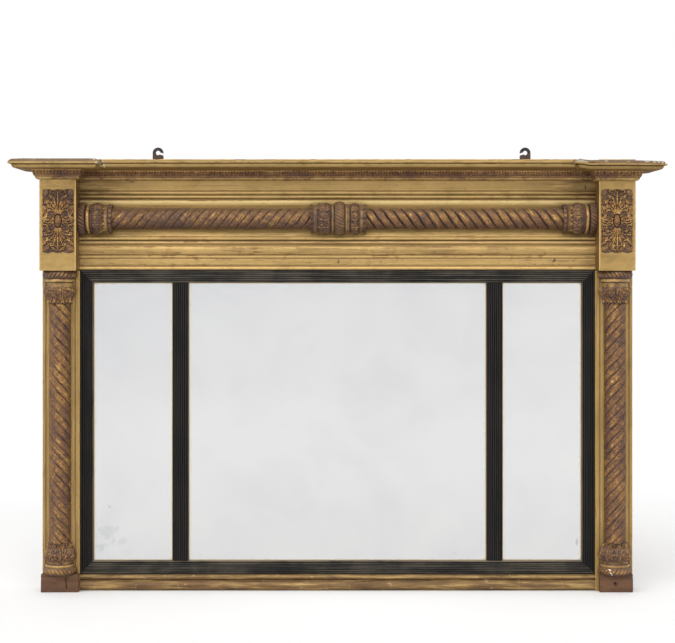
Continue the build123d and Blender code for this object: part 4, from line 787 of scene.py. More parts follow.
def slip(name, node, side, material, bare=0.0, seed=1):
    """One mitred slip. side is 'top', 'bottom', 'left' or 'right'."""
    if side in ("left", "right"):
        k = -1 if side == "left" else 1
        prof = [(p[1], p[0]) if len(p) == 2 else (p[1], p[0], p[3], p[2]) for p in reeded(BOARD_IN, -1)]
        # profile (zf, |x|), run along z with 45 degree ends
        Q, N, bend, w = outline(prof, 1.2, 0.3)
        d = BOARD_IN - Q[:, 1]
        z0, z1 = Z0S + d, np.minimum(Z1S - d, 674.8)
        m = 150
        t = np.linspace(0, 1, m + 1)[:, None]
        zz = z0 + (z1 - z0) * t
        wob = 0.10 * np.array([fbm(zz[r] / 60.0, w / 9, seed) for r in range(m + 1)]) * (Q[:, 0] > -14)
        V = np.stack([k * (Q[:, 1] + N[:, 1] * wob), Q[:, 0] + N[:, 0] * wob, zz], -1)
    else:
        up = -1 if side == "top" else 1
        base = Z1S if side == "top" else Z0S
        prof = [(p[1], p[0]) if len(p) == 2 else (p[1], p[0], p[3], p[2]) for p in reeded(base, up)]
        Q, N, bend, w = outline(prof, 1.2, 0.3)
        zq = np.minimum(Q[:, 1], 674.8)
        d = (Q[:, 1] - base) * up
        half = BOARD_IN - d
        m = 260
        t = np.linspace(-1, 1, m + 1)[:, None]
        xx = half * t
        wob = 0.10 * np.array([fbm(xx[r] / 60.0, w / 9, seed) for r in range(m + 1)]) * (Q[:, 0] > -14)
        V = np.stack([xx, Q[:, 0] + N[:, 0] * wob, zq + N[:, 1] * wob], -1)
        k = 1
    rows, n = V.shape[:2]
    quads = grid_quads(rows, n, wrap=True)
    caps = [list(range(n - 1, -1, -1)), list(range((rows - 1) * n, rows * n))]
    V = V.reshape(-1, 3)
    quads, caps = orient(V, quads, caps)
    inner = np.abs(Q[:, 1] - (BOARD_IN if side in ("left", "right") else base)) > SLIP_W - 1.7
    g = np.tile(np.where(inner, bare, 0.0), rows)
    return piece(name, V, quads, caps, material, [node], {"edge": np.tile(bend, rows), "gilt": g}, 50)


def orient(V, quads, caps):
    """Turns all faces outward, judged by the signed volume."""
    co = np.stack([V[:, 0], 25.0 - V[:, 1], V[:, 2]], 1)
    co = co - co.mean(0)
    a, b, c, d = (co[quads[:, k]] for k in range(4))
    vol = np.einsum("ij,ij->i", a, np.cross(b, c)).sum() + np.einsum("ij,ij->i", a, np.cross(c, d)).sum()
    if vol < 0:
        return quads[:, ::-1], [list(c)[::-1] for c in caps]
    return quads, caps


slip("slip_top_reeded", "slip_top", "top", EBONY_X, 0.25, 51)
slip("slip_bottom_reeded", "slip_bottom", "bottom", EBONY_X, 1.0, 52)
slip("slip_left_reeded", "slip_left", "left", EBONY_Z, 0.55, 53)
slip("slip_right_reeded", "slip_right", "right", EBONY_Z, 0.55, 54)
for side, tag in ((-1, "left"), (1, "right")):
    half, first = 17.2, DIV_X - 13.5
    pts = [(-19.5, DIV_X - half), (-13.6, DIV_X - half), (-11.6, DIV_X - half + 1.2), (-11.6, first - 0.9),
           (-13.2, first - 0.4), (-12.25, first)]
    for k in range(6):
        a = first + REED * k
        pts.append((-10.0, a + REED / 2, -12.25, a + REED))
    last = first + 27.0
    pts += [(-13.2, last + 0.4), (-11.6, last + 0.9), (-11.6, DIV_X + half - 1.2), (-13.6, DIV_X + half), (-19.5, DIV_X + half)]
    Q, N, bend, w = outline(pts, 1.2, 0.3)
    zz = np.linspace(61.9, 647.2, 150)
    V = np.zeros((150, len(Q), 3))
    for r, z in enumerate(zz):
        d = 0.10 * fbm(z / 60.0, w / 9, 60 + side) * (Q[:, 0] > -14)
        V[r, :, 0] = side * (Q[:, 1] + N[:, 1] * d)
        V[r, :, 1] = Q[:, 0] + N[:, 0] * d
        V[r, :, 2] = z
    n = len(Q)
    quads = grid_quads(150, n, wrap=True)
    caps = [list(range(n - 1, -1, -1)), list(range(149 * n, 150 * n))]
    V = V.reshape(-1, 3)
    quads, caps = orient(V, quads, caps)
    inner = np.abs(Q[:, 1] - DIV_X) > half - 0.6
    piece("divider_%s_reeded" % tag, V, quads, caps, EBONY_Z, ["divider_" + tag],
          {"edge": np.tile(bend, 150), "gilt": np.tile(np.where(inner, 0.5, 0.0), 150)}, 50)


# ----------------------------------------------------------- turned ornament
def hollow_zf(z):
    """Surface of the hollow behind the lying column."""
    d = np.minimum(np.abs(z - 782.5), 37.5)
    return np.where(np.abs(z - 782.5) < 37.45, 78.04 - np.sqrt(94.04 ** 2 - d ** 2), -9.0)


def turned(name, nodes, axis, S, shape, material, fine=121, cx=0.0, sharp=50):
    """A closed skin round an axis: shape(s, t) gives radius, edge and gilt at
    length s and angle t (0 at the front). Its back is cut to the seat."""
    T = np.radians(np.concatenate([np.linspace(-102, 102, fine), np.linspace(114, 246, 8)]))
    s, t = np.meshgrid(np.asarray(S, float), T, indexing="ij")
    r, e, g = shape(s, t)
    if axis == "x":
        x, zf, z = s, FCOL_FWD + r * np.cos(t), FCOL_Z + r * np.sin(t)
        zf = np.maximum(zf, hollow_zf(z) - 0.4)
    else:
        x, zf, z = cx + r * np.sin(t), COL_FWD + r * np.cos(t), s
        zf = np.maximum(zf, -0.5)
    V = np.stack([x, zf, z], -1).reshape(-1, 3)
    rows, n = s.shape
    quads = grid_quads(rows, n, wrap=True)
    caps = [list(range(n - 1, -1, -1)), list(range((rows - 1) * n, rows * n))]
    quads, caps = orient(V, quads, caps)
    return piece(name, V, quads, caps, material, nodes,
                 {"edge": np.clip(e, 0, 1), "gilt": np.clip(g, 0, 1)}, sharp)


def rope(s, t, pitch, turn, radius, depth, seed, crisp=0.0, strands=5):
    """Five twisted strands, each a broad band carved with fine flutes and
    small curling leaves, with a narrow groove between them."""
    q = s / pitch + turn * strands * t / (2 * math.pi)
    q = q + 0.05 * noise(s / 41.0, t * 1.5, seed) + 0.03 * noise(s / 9.0, t * 4.0, seed + 3)
    u = q % 1.0
    groove = np.exp(-(np.minimum(u, 1 - u) / 0.070) ** 2) * (0.75 + 0.25 * noise(s / 23.0, t, seed + 23))
    second = np.exp(-((u - 0.62) / 0.050) ** 2) * (0.55 + 0.45 * noise(s / 60.0, t, seed + 21))
    crown = np.sin(math.pi * np.clip((u - 0.02) / 0.96, 0, 1)) ** 0.55
    flutes = np.cos(2 * math.pi * 4.0 * u)
    along = s / pitch * 2.2 - turn * 3.4 * t + 1.6 * np.abs(u - 0.4) + 0.5 * noise(s / 14.0, t * 2.0, seed + 7)
    curl = np.maximum(0, np.cos(2 * math.pi * along)) ** 2
    part = ss(0.05, 0.45, fbm(s / 26.0, t * 1.2, seed + 11))
    wear = ss(-0.1, 0.7, fbm(s / 15.0, t * 1.7, seed + 5))
    mottle = fbm(s / 4.0, t * 5.5, seed + 17)
    second = second * (1 - 0.7 * crisp)
    r = radius - (depth + 1.2 * crisp) * groove - 0.45 * depth * second - (0.8 + 0.8 * crisp) * (1 - crown)
    r = r + 0.24 * flutes * (1 - 0.5 * wear) + 0.50 * curl * part - 0.45 - 0.35 * wear + 0.35 * mottle
    e = 0.46 + (0.06 + 0.20 * crisp) * (crown - 0.6) - (0.24 + 0.10 * crisp) * groove - 0.12 * second + 0.05 * flutes + 0.10 * curl * part - 0.06 * wear + (0.20 - 0.07 * crisp) * mottle
    # thin rubbed line along the crest
    line = np.exp(-((u - 0.42 - 0.05 * noise(s / 12.0, t * 2, seed + 13)) / 0.055) ** 2)
    e = e + 0.26 * line * ss(0.05, 0.60, noise(s / 13.0, t * 2.2, seed + 15))
    return r, e


def acanthus(u, v, lobes=3.0):
    """Height and cover of a lobed leaf, |u| < 1 across, v from root to tip."""
    a = np.abs(u)
    a = a + 0.10 * noise(u * 2.0 + v, v * 6.0, 333)
    w = 0.94 * np.sqrt(np.clip(1 - np.clip((v - 0.38) / 0.64, 0, 1) ** 2.2, 0, 1)) * (0.72 + 0.28 * ss(0, 0.3, v))
    lobe = np.abs(np.sin(math.pi * lobes * (v - 0.28 * a)))
    inside = ss(0.0, 0.13, w * (0.78 + 0.22 * lobe) - a) * (v > 0) * (v < 1.02)
    rib = np.exp(-(u / 0.11) ** 2)
    groove = np.exp(-((a - 0.20) / 0.08) ** 2)
    vein = 0.5 + 0.5 * np.cos(2 * math.pi * lobes * (v - 0.60 * a))
    h = 0.50 + 0.34 * vein * ss(0.12, 0.35, a) + 0.36 * rib - 0.22 * groove - 0.18 * a * a + 0.30 * ss(0.70, 1.0, v)
    return inside * h, inside


def leafy(s, t, root, tip, n, phase=0.0, lobes=3.0):
    """Two rows of leaves round a collar, from root to tip."""
    v = (s - root) / (tip - root)
    q = n * t / (2 * math.pi) + phase
    u1 = ((q % 1.0) - 0.5) * 2.05
    u2 = (((q + 0.5) % 1.0) - 0.5) * 2.05
    h1, m1 = acanthus(u1, v, lobes)
    h2, m2 = acanthus(u2 * 1.15, v * 1.10 - 0.04, lobes)
    h = np.maximum(h1, 0.72 * h2)
    return h, np.maximum(m1, 0.9 * m2)


def arc_profile(points):
    """Open radius profile (s, r) with arcs, as arrays for interpolation."""
    P = [points[0][:2]]
    for q in points[1:]:
        if len(q) == 2:
            P.append(q)
            continue
        a, b, c = P[-1], q[:2], q[2:]
        for k in range(1, 13):
            m = k / 12
            P.append(tuple(a[i] * (1 - m) * (1 - 2 * m) + b[i] * 4 * m * (1 - m) + c[i] * m * (2 * m - 1) for i in (0, 1)))
    P = np.array(P)
    return P[:, 0], P[:, 1]


def gadroon(s, t, s0, s1, n, lean, depth):
    """Diagonal oval flutes round a ring."""
    v = np.clip((s - s0) / (s1 - s0), 0, 1)
    q = n * t / (2 * math.pi) + lean * v
    lobe = np.abs(np.sin(math.pi * q)) ** 0.8
    body = np.sin(math.pi * np.clip(v, 0.02, 0.98)) ** 0.6
    return -depth * (1 - lobe) * body, lobe * body


steps = lambda a, b, d: np.linspace(a, b, max(2, int(round(abs(b - a) / d)) + 1))

for side, tag in ((-1, "left"), (1, "right")):
    cx = side * COL_X

    # pilaster column with its gilt necks
    def shaft(s, t, side=side):
        keys = [(38, 21), (52.9, 21), (53.0, 30), (56, 31.1), (59, 30), (60, 27.6), (63, 27.3), (65.9, 27.8), (66.1, 21),
                (103.4, 21), (103.6, 22.6), (603.0, 22.6), (603.2, 21), (638.8, 21), (639.0, 27.8), (642, 27.3),
                (646, 27.5), (648, 28.6), (649, 30), (652.5, 31.1), (655.9, 30), (656.1, 21), (673, 21)]
        base = np.interp(s, [k[0] for k in keys], [k[1] for k in keys])
        r, e = rope(s, t, 22.0, side * -1.0, 23.0, 2.1, 70 + side, 0.10, 6)
        on = (s > 103.5) & (s < 603.1)
        neck = ~on
        wob = 0.18 * fbm(s / 6.0, t * 3, 77 + side)
        lines = np.exp(-((s - 60.0) / 0.9) ** 2) + np.exp(-((s - 648.2) / 0.9) ** 2)
        e2 = 0.36 + 0.16 * fbm(s / 3.0, t * 4, 79 + side) + 0.20 * np.exp(-((s - 652.5) / 2.2) ** 2) + 0.20 * np.exp(-((s - 56.0) / 2.0) ** 2) - 0.36 * lines
        # painted highlight: gilt on the crests on the side of the column that faces the middle of the frame
        e = e + 0.10 * fbm(s / 34.0, t * 0.7, 87 + side)
        painted_highlight = 0.45 * ss(0.60, 0.85, e) * ss(0.1, 0.9, -side * np.sin(t) + 0.6)
        # painted highlight: crests brighter on the side facing the middle
        e = e + 0.07 * np.exp(-((t + side * 0.25) / 0.45) ** 2)
        return np.where(on, r, base + wob), np.where(on, e, e2), np.where(neck, 0.50, painted_highlight)

    S = np.concatenate([[38, 52.8], steps(53, 65.9, 0.6), [66.1, 84, 103.3], steps(103.6, 603.0, 1.0),
                        [603.3, 620, 638.7], steps(639, 655.9, 0.6), [656.2, 673]])
    turned("column_%s_twist" % tag, ["column_" + tag], "z", S, shaft, COMPO_SHAFT, cx=cx, fine=111)

    # rings
    def ring(s0, s1, rmid, rend, lean, seed):
        def f(s, t):
            v = (s - s0) / (s1 - s0)
            d, lobe = gadroon(s, t, s0 + 0.8, s1 - 0.8, 25, lean, 2.3)
            r = rend + (rmid - rend) * np.sin(math.pi * np.clip(v, 0, 1)) ** 0.75 + d
            r = r - 0.5 * ss(0.2, 0.8, fbm(t * 4, s / 5, seed))
            return r, 0.28 + 0.26 * lobe + 0.20 * fbm(t * 5, s / 4, seed + 1), 0.12 * ss(0.5, 0.9, lobe) + 0 * s
        return f

    turned("capital_ring_%s_gadroon" % tag, ["capital_ring_" + tag], "z", steps(656.0, 672.9, 0.65),
           ring(656, 673, 37.0, 32.0, side * 1.1, 80 + side), COMPO_RING, cx=cx, fine=181)
    turned("base_ring_%s_gadroon" % tag, ["base_ring_" + tag], "z", steps(38.05, 53.0, 0.65),
           ring(38, 53, 36.5, 31.5, side * -1.1, 83 + side), COMPO_BASE, cx=cx, fine=181)

    # leafy collars
    def collar(keys, root, tip, n, rim, seed, out):
        ks, kr = arc_profile(keys)

        def f(s, t):
            base = np.interp(s, ks, kr)
            h, cover = leafy(s, t, root, tip, n, 0.25 if side > 0 else 0.0, 3.0)
            lo, hi = min(rim), max(rim)
            near_rim = ss(rim[0], rim[1], s)
            wear = ss(0.1, 0.8, fbm(t * 5, s / 7, seed))
            r = base - 3.4 + 3.4 * np.clip(h, 0, 1.1) - 0.5 * wear
            # scalloped rim: nothing between the leaf tips
            q = n * 2 * t / (2 * math.pi) + (0.5 if side > 0 else 0.0)
            scallop = np.abs(np.sin(math.pi * q)) ** 0.6
            edge_s = rim[0] + (rim[1] - rim[0]) * (0.35 + 0.65 * scallop)
            gone = ss(-0.35, 0.35, (s - edge_s) * (1 if rim[1] > rim[0] else -1))
            lip = np.exp(-((s - edge_s) / 1.5) ** 2) * (1 - gone)
            r = r + 1.1 * lip
            r = r * (1 - gone) + 21.5 * gone
            busy = fbm(t * 9.0, s / 2.6, seed + 3)
            r = r + 1.0 * busy
            e = 0.26 + 0.34 * np.clip(h, 0, 1) + 0.24 * lip - 0.08 * wear + 0.40 * busy
            e = e * (1 - gone) + 0.05 * gone
            g = 0.25 * ss(0.62, 0.95, h) + 0.30 * lip
            return r, e, g * (1 - gone)
        return f

    turned("capital_collar_%s_leaf" % tag, ["capital_collar_" + tag], "z", steps(603.2, 638.9, 0.62),
           collar([(603, 29), (612, 27.5, 619, 31), (630, 35, 639, 33)], 641.0, 604.0, 9, (608.5, 603.4), 86, 1),
           COMPO, cx=cx, fine=205)
    turned("base_collar_%s_leaf" % tag, ["base_collar_" + tag], "z", steps(66.1, 103.4, 0.62),
           collar([(66, 33), (78, 35.5, 90, 32), (96, 28.5, 103.6, 29.5)], 64.0, 102.8, 9, (98.0, 103.3), 89, 1),
           COMPO, cx=cx, fine=205)

    # end collars of the lying column
    ks, kr = arc_profile([(472.5, 30), (477, 31), (484, 28), (490, 27.5), (496, 32), (504, 34, 512, 32.5), (518, 29),
                          (522, 31.5, 526, 29.5), (526.3, 27.5), (529, 32.5), (535.5, 34.2, 542.8, 32)])

    def end_collar(s, t, side=side):
        a = np.abs(s)
        base = np.interp(a, ks, kr)
        h, _ = leafy(a, t, 512.5, 486.5, 9, 0.15, 2.6)
        band = ss(486.5, 490, a) * (1 - ss(511, 514, a))
        rim = 1 - ss(477.5, 480.5, a)
        scallop = np.abs(np.sin(math.pi * 16 * t / (2 * math.pi)))
        d, lobe = gadroon(a, t, 527.0, 542.5, 24, side * 1.15, 2.6)
        wear = ss(0.1, 0.8, fbm(t * 5, a / 7, 95 + side))
        ring = ss(527, 528.5, a)
        busy = fbm(t * 9.0, a / 2.6, 98 + side)
        r = base + band * (3.2 * np.clip(h, 0, 1.1) - 3.2 + 1.0 * busy) + d * ring - 0.4 * wear
        r = r - rim * 1.9 * (1 - scallop ** 0.5)
        bead = np.exp(-((a - 522) / 3.6) ** 4)
        hollow = ss(480, 482.5, a) * (1 - ss(487.5, 490.5, a))
        step = ss(513, 514.5, a) * (1 - ss(517.5, 518.5, a))
        crack = np.exp(-((a - 526.6) / 0.7) ** 2) + np.exp(-((a - 517.8) / 0.7) ** 2)
        e = band * (0.24 + 0.34 * np.clip(h, 0, 1) + 0.40 * busy) + rim * (0.14 + 0.38 * scallop) + ring * (0.24 + 0.30 * lobe)
        e = e + bead * 0.70 + hollow * 0.50 + step * 0.38
        e = e - 0.08 * wear - 0.45 * crack
        g = bead * 0.50 + hollow * (0.35 if side < 0 else 0.15) + step * 0.10 + band * 0.25 * ss(0.62, 0.95, h)
        return np.maximum(r, 18.5), e, g

    turned("frieze_end_collar_%s_leaf" % tag, ["frieze_end_collar_" + tag], "x",
           side * steps(472.6, 542.7, 0.65) if side > 0 else -steps(472.6, 542.7, 0.65), end_collar, COMPO_DARK, fine=205)

    # lying rope
    def lying(s, t, side=side):
        r, e = rope(s, t, 19.5 if side < 0 else 21.3, side * 1.0, 22.5, 2.2, 100 + side, 0.0 if side < 0 else 0.9, 5 if side < 0 else 4)
        a = np.abs(s)
        inner = 58.0 if side > 0 else 54.0
        on = (a > inner) & (a < 474.0)
        # painted highlight: gilt on the crests of the upper side of the rope
        painted_highlight = 0.25 * ss(0.52, 0.80, e) * ss(-0.8, 0.2, np.sin(t))
        return np.where(on, r, 18.5), e, np.where(on, painted_highlight, 0.0)

    S = np.concatenate([[4.4, 30, 53.9 if side < 0 else 57.9], steps(54.1 if side < 0 else 58.1, 473.9, 0.95),
                        [474.2, 500, 542.7]])
    turned("frieze_column_%s_twist" % tag, ["frieze_column_" + tag], "x", side * S if side > 0 else -S + 8.8 * (S < 5),
           lying, COMPO_ROPE, fine=105)


# centre cluster
def centre_collar(keys, bead, leaf, hollow, rim, side, seed):
    ks, kr = arc_profile(keys)

    def f(s, t):
        a = np.abs(s)
        base = np.interp(a, ks, kr)
        h, _ = leafy(a, t, leaf[0] - 1.5, leaf[1] + 1.0, 9, 0.4, 2.4)
        band = ss(leaf[0] - 1, leaf[0] + 1.5, a) * (1 - ss(leaf[1] - 1, leaf[1] + 2, a))
        scallop = np.abs(np.sin(math.pi * 16 * t / (2 * math.pi) + 0.4))
        on_rim = ss(rim[0] - 1.5, rim[0] + 0.5, a)
        wear = ss(0.1, 0.8, fbm(t * 5, a / 7, seed))
        busy = fbm(t * 9.0, a / 2.6, seed + 3)
        r = base + band * (3.2 * np.clip(h, 0, 1.1) - 3.2 + 1.0 * busy) - on_rim * 2.8 * (1 - scallop ** 0.5) - 0.4 * wear
        mid = 0.5 * (bead[0] + bead[1])
        half = 0.5 * (bead[1] - bead[0])
        on_bead = np.exp(-((a - mid) / (half * 0.92)) ** 4)
        line = np.exp(-((a - mid - 0.2 * half) / 0.8) ** 2) if half > 4 else 0 * a
        on_hollow = ss(hollow[0] - 1, hollow[0] + 1, a) * (1 - ss(hollow[1] - 1, hollow[1] + 1, a))
        e = band * (0.16 + 0.42 * np.clip(h, 0, 1) + 0.36 * busy) + on_rim * (0.10 + 0.34 * scallop) + on_bead * 0.46 + on_hollow * 0.34
        e = e - 0.08 * wear - 0.4 * line
        g = on_bead * 0.28 + on_hollow * 0.28 + band * 0.15 * ss(0.62, 0.95, h)
        return np.maximum(r, 18.5), e, g
    return f


turned("frieze_centre_collar_right_leaf", ["frieze_centre_collar_right"], "x", steps(15.05, 60.2, 0.6),
       centre_collar([(15.0, 29.5), (20, 31.5, 25.5, 29.5), (27, 28.8), (29, 32), (36, 34, 43, 32), (49, 28), (55, 28.5),
                      (60.3, 31.5)], (15.0, 25.5), (28.0, 44.0), (46.0, 53.5), (54.5, 60.3), 1, 111), COMPO_DARK, fine=205)
turned("frieze_centre_collar_left_leaf", ["frieze_centre_collar_left"], "x", -steps(6.55, 56.4, 0.6),
       centre_collar([(6.5, 29.5), (9.5, 31.2, 13, 29.5), (14.2, 28.8), (16, 32), (27, 34, 40, 32), (45, 28), (51, 28.5),
                      (56.5, 31.5)], (6.5, 13.0), (15.0, 41.0), (42.0, 50.0), (51.0, 56.5), -1, 112), COMPO_DARK, fine=205)


def disc(s, t):
    v = np.clip((s + 6.5) / 21.5, 0, 1)
    d, lobe = gadroon(s, t, -5.0, 13.5, 30, 1.3, 1.7)
    r = 32.5 + 4.0 * np.sin(math.pi * v) ** 0.7 + d - 0.3 * ss(0.2, 0.8, fbm(t * 4, s / 6, 120))
    return r, 0.30 + 0.22 * lobe + 0.10 * fbm(t * 4, s / 5, 121), 0.10 * lobe


turned("frieze_centre_disc_fluted", ["frieze_centre_disc"], "x", steps(-6.45, 14.95, 0.6), disc, COMPO_DARK, fine=205)


# ------------------------------------------------------------ pier ornament
def panel_field():
    """Height of the leafy panel (mm over its block) and its edge value: an
    oval boss among palmettes, curling sprays and small scrolls."""
    x = np.linspace(-33.0, 33.0, 141)
    z = np.linspace(-66.8, 66.8, 285)
    X, Z = np.meshgrid(x, z, indexing="ij")
    A = np.abs(X)
    H = 1.2 + 0.5 * fbm(X / 3.0, Z / 3.0, 130)
    E = 0.22 + 0.20 * fbm(X / 3.0, Z / 3.0, 133)

    def stroke(points, width, top, light=0.0):
        """A rounded rib along a line of points, half of it mirrored."""
        nonlocal H, E
        P = np.array(points, float)
        x0, z0, x1, z1 = P[:, 0].min() - 4, P[:, 1].min() - 4, P[:, 0].max() + 4, P[:, 1].max() + 4
        near = (A > x0) & (A < x1) & (Z > z0) & (Z < z1)
        a, b = A[near], Z[near]
        best = np.full(a.shape, 9.0)
        for (px, pz), (qx, qz) in zip(P[:-1], P[1:]):
            dx, dz = qx - px, qz - pz
            k = np.clip(((a - px) * dx + (b - pz) * dz) / (dx * dx + dz * dz + 1e-9), 0, 1)
            best = np.minimum(best, np.hypot(a - px - k * dx, b - pz - k * dz))
        d = best / (width / 2)
        rib = np.sqrt(np.clip(1 - d ** 2, 0, 1))
        hh = top * (0.45 + 0.55 * rib) * (d < 1)
        up = hh > H[near]
        H[near] = np.where(up, hh, H[near])
        E[near] = np.where(up, 0.30 + 0.44 * rib ** 1.3 + light, E[near])

    def curl(x0, z0, deg, length, bend, width, top, hook=2.4, light=0.0):
        """A spray that ends in a small scroll."""
        a = math.radians(deg)
        pts = []
        for k in range(9):
            v = k / 8
            b = a + bend * v * v
            pts.append((x0 + length * v * math.sin(a + bend * v * v * 0.6), z0 + length * v * math.cos(a + bend * v * v * 0.6)))
        ex, ez = pts[-1]
        turn = 1 if bend >= 0 else -1
        cx, cz = ex + hook * math.cos(b) * turn, ez - hook * math.sin(b) * turn
        start = math.atan2(ez - cz, ex - cx)
        for k in range(1, 9):
            g = start - turn * k * 0.62
            rr = hook * (1 - 0.06 * k)
            pts.append((cx + rr * math.cos(g), cz + rr * math.sin(g)))
        stroke(pts, width, top, light)

    # sprays over and under the boss
    for deg, length, bend, top in ((5, 36, 0.25, 4.2), (17, 31, 0.5, 4.4), (31, 27, 0.8, 4.2), (46, 22, 0.9, 3.8)):
        curl(1.8, 14.5, deg, length, bend, 2.3, top, 2.8, -0.02)
        curl(1.8, 13.5, deg + 5, length * 0.66, -0.2, 1.7, top * 0.8, 1.5)
    for deg, length, bend, top in ((175, 36, -0.25, 4.2), (162, 31, -0.5, 4.4), (148, 27, -0.8, 4.2), (133, 22, -0.9, 3.8)):
        curl(1.8, -14.5, deg, length, bend, 2.2, top, 2.8, -0.04)
        curl(1.8, -13.5, deg - 5, length * 0.66, 0.2, 1.6, top * 0.8, 1.5)
    stroke([(0.3, 14), (0, 32), (0.5, 60)], 2.0, 4.6, 0.02)
    stroke([(0, -14), (0.4, -38), (0, -60)], 1.8, 4.8, 0.12)
    # leaves at the sides of the boss
    for deg, length, bend in ((66, 22, 0.5), (78, 20, 0.4), (90, 19, -0.35), (102, 20, -0.4), (114, 22, -0.5)):
        curl(8.5, (90 - deg) * 0.2, deg, length, bend, 2.2, 4.0, 1.9, 0.02)
    # large and small scrolls in the side fields
    for cx, cz, rr, w, top in ((25.0, -11.5, 4.6, 2.0, 4.6), (25.5, 13.0, 4.0, 1.9, 4.2), (27.0, 27.0, 3.2, 1.7, 4.0),
                               (27.0, -27.0, 3.4, 1.7, 4.0), (22.5, 37.5, 3.0, 1.6, 4.0), (23.0, -38.5, 3.2, 1.6, 4.2),
                               (28.0, 44.5, 2.8, 1.5, 3.6), (28.0, -46.0, 2.8, 1.5, 3.6), (17.5, 49.5, 2.8, 1.5, 4.0),
                               (17.0, -51.0, 3.0, 1.6, 4.2), (11.0, 56.5, 2.8, 1.5, 4.0), (10.5, -57.5, 3.0, 1.6, 4.2),
                               (4.5, 61.0, 2.4, 1.5, 4.2), (4.5, -61.0, 2.4, 1.5, 4.2), (29.5, 3.5, 2.6, 1.5, 3.6),
                               (29.5, -3.5, 2.4, 1.5, 3.6), (29.5, 19.5, 2.0, 1.4, 3.4), (29.5, -20.0, 2.0, 1.4, 3.4),
                               (29.8, 35.5, 2.0, 1.4, 3.2), (29.8, -36.0, 2.0, 1.4, 3.2)):
        g = np.linspace(0.4, 5.6, 16)
        shrink = np.linspace(1.0, 0.55, 16)
        stroke([(cx + rr * shrink[k] * math.cos(g[k]), cz + rr * shrink[k] * math.sin(g[k])) for k in range(16)], w, top, 0.05)
    # small leaf tips all over the ground
    rng = np.random.RandomState(19)
    for k in range(120):
        cx, cz = rng.uniform(2.5, 31.0), rng.uniform(-62.0, 62.0)
        a, n, b = rng.uniform(0, 6.28), rng.uniform(3.2, 6.4), rng.uniform(-1.3, 1.3)
        stroke([(cx + n * v * math.cos(a + b * v), cz + n * v * math.sin(a + b * v)) for v in (0, 0.35, 0.7, 1.0)],
               rng.uniform(1.5, 2.5), rng.uniform(3.0, 4.6), rng.uniform(-0.16, 0.12))
    # plain lobes in the corners
    for z0 in (58.5, -58.5):
        d = np.hypot((A - 25.5) / 7.4, (Z - z0) / 7.2)
        hh = 3.8 * np.sqrt(np.clip(1 - d ** 2, 0, 1))
        up = hh > H
        H = np.where(up, hh, H)
        E = np.where(up, 0.20, E)
    # petals round the boss, then the boss
    rho = np.hypot(X / 7.0, Z / 12.8)
    phi = np.arctan2(Z / 12.8, X / 7.0)
    u = ((16 * phi / (2 * math.pi)) % 1.0 - 0.5) * 2
    v = (rho - 1.05) / 0.60
    w = np.sqrt(np.clip(1 - ((v - 0.5) / 0.52) ** 2, 0, 1)) * 0.9
    h = np.sqrt(np.clip(1 - (u / np.maximum(w, 1e-3)) ** 2, 0, 1)) * (w > 0.05) * (v > 0) * (v < 1)
    hh = 4.4 * h
    E = np.where(hh > H, 0.24 + 0.30 * h, E)
    H = np.maximum(H, hh)
    moat = np.exp(-((rho - 1.06) / 0.09) ** 2)
    H = H * (1 - 0.7 * moat)
    E = E * (1 - 0.55 * moat)
    dome = np.sqrt(np.clip(1 - rho ** 2, 0, 1))
    hh = (2.0 + 5.6 * dome) * (dome > 0)
    E = np.where(hh > H, 0.36 + 0.10 * dome, E)
    H = np.maximum(H, hh)
    # the scalloped outline
    top = 66.3 - 3.0 * (1 - np.abs(np.cos(math.pi * X / 21.6)) ** 0.7)
    side = 32.7 - 1.3 * (1 - np.abs(np.cos(math.pi * Z / 11.0)) ** 0.7)
    inside = ss(-0.4, 0.5, top - np.abs(Z)) * ss(-0.4, 0.5, side - A)
    rim = np.exp(-((top - np.abs(Z) - 1.3) / 1.0) ** 2) + np.exp(-((side - A - 1.2) / 0.9) ** 2)
    H = H + 0.8 * rim * inside
    worn = ss(0.0, 0.7, fbm(X / 8.0, Z / 8.0, 135))
    H = 1.0 + (H - 1.0) * (1 - 0.35 * worn) + 0.25 * fbm(X / 1.6, Z / 1.6, 131)
    E = E + 0.24 * fbm(X / 2.2, Z / 2.2, 132) + 0.10 * fbm(X / 9.0, Z / 9.0, 134) - 0.08 * worn
    E = 0.45 * E + 0.55 * (0.10 + 0.58 * ss(1.3, 4.6, H)) - 0.12 * (dome > 0.2)
    H = np.where(inside > 0.02, H * inside, 0) - 0.9 * (1 - inside)
    return X, Z, H, np.clip(E, 0, 1)


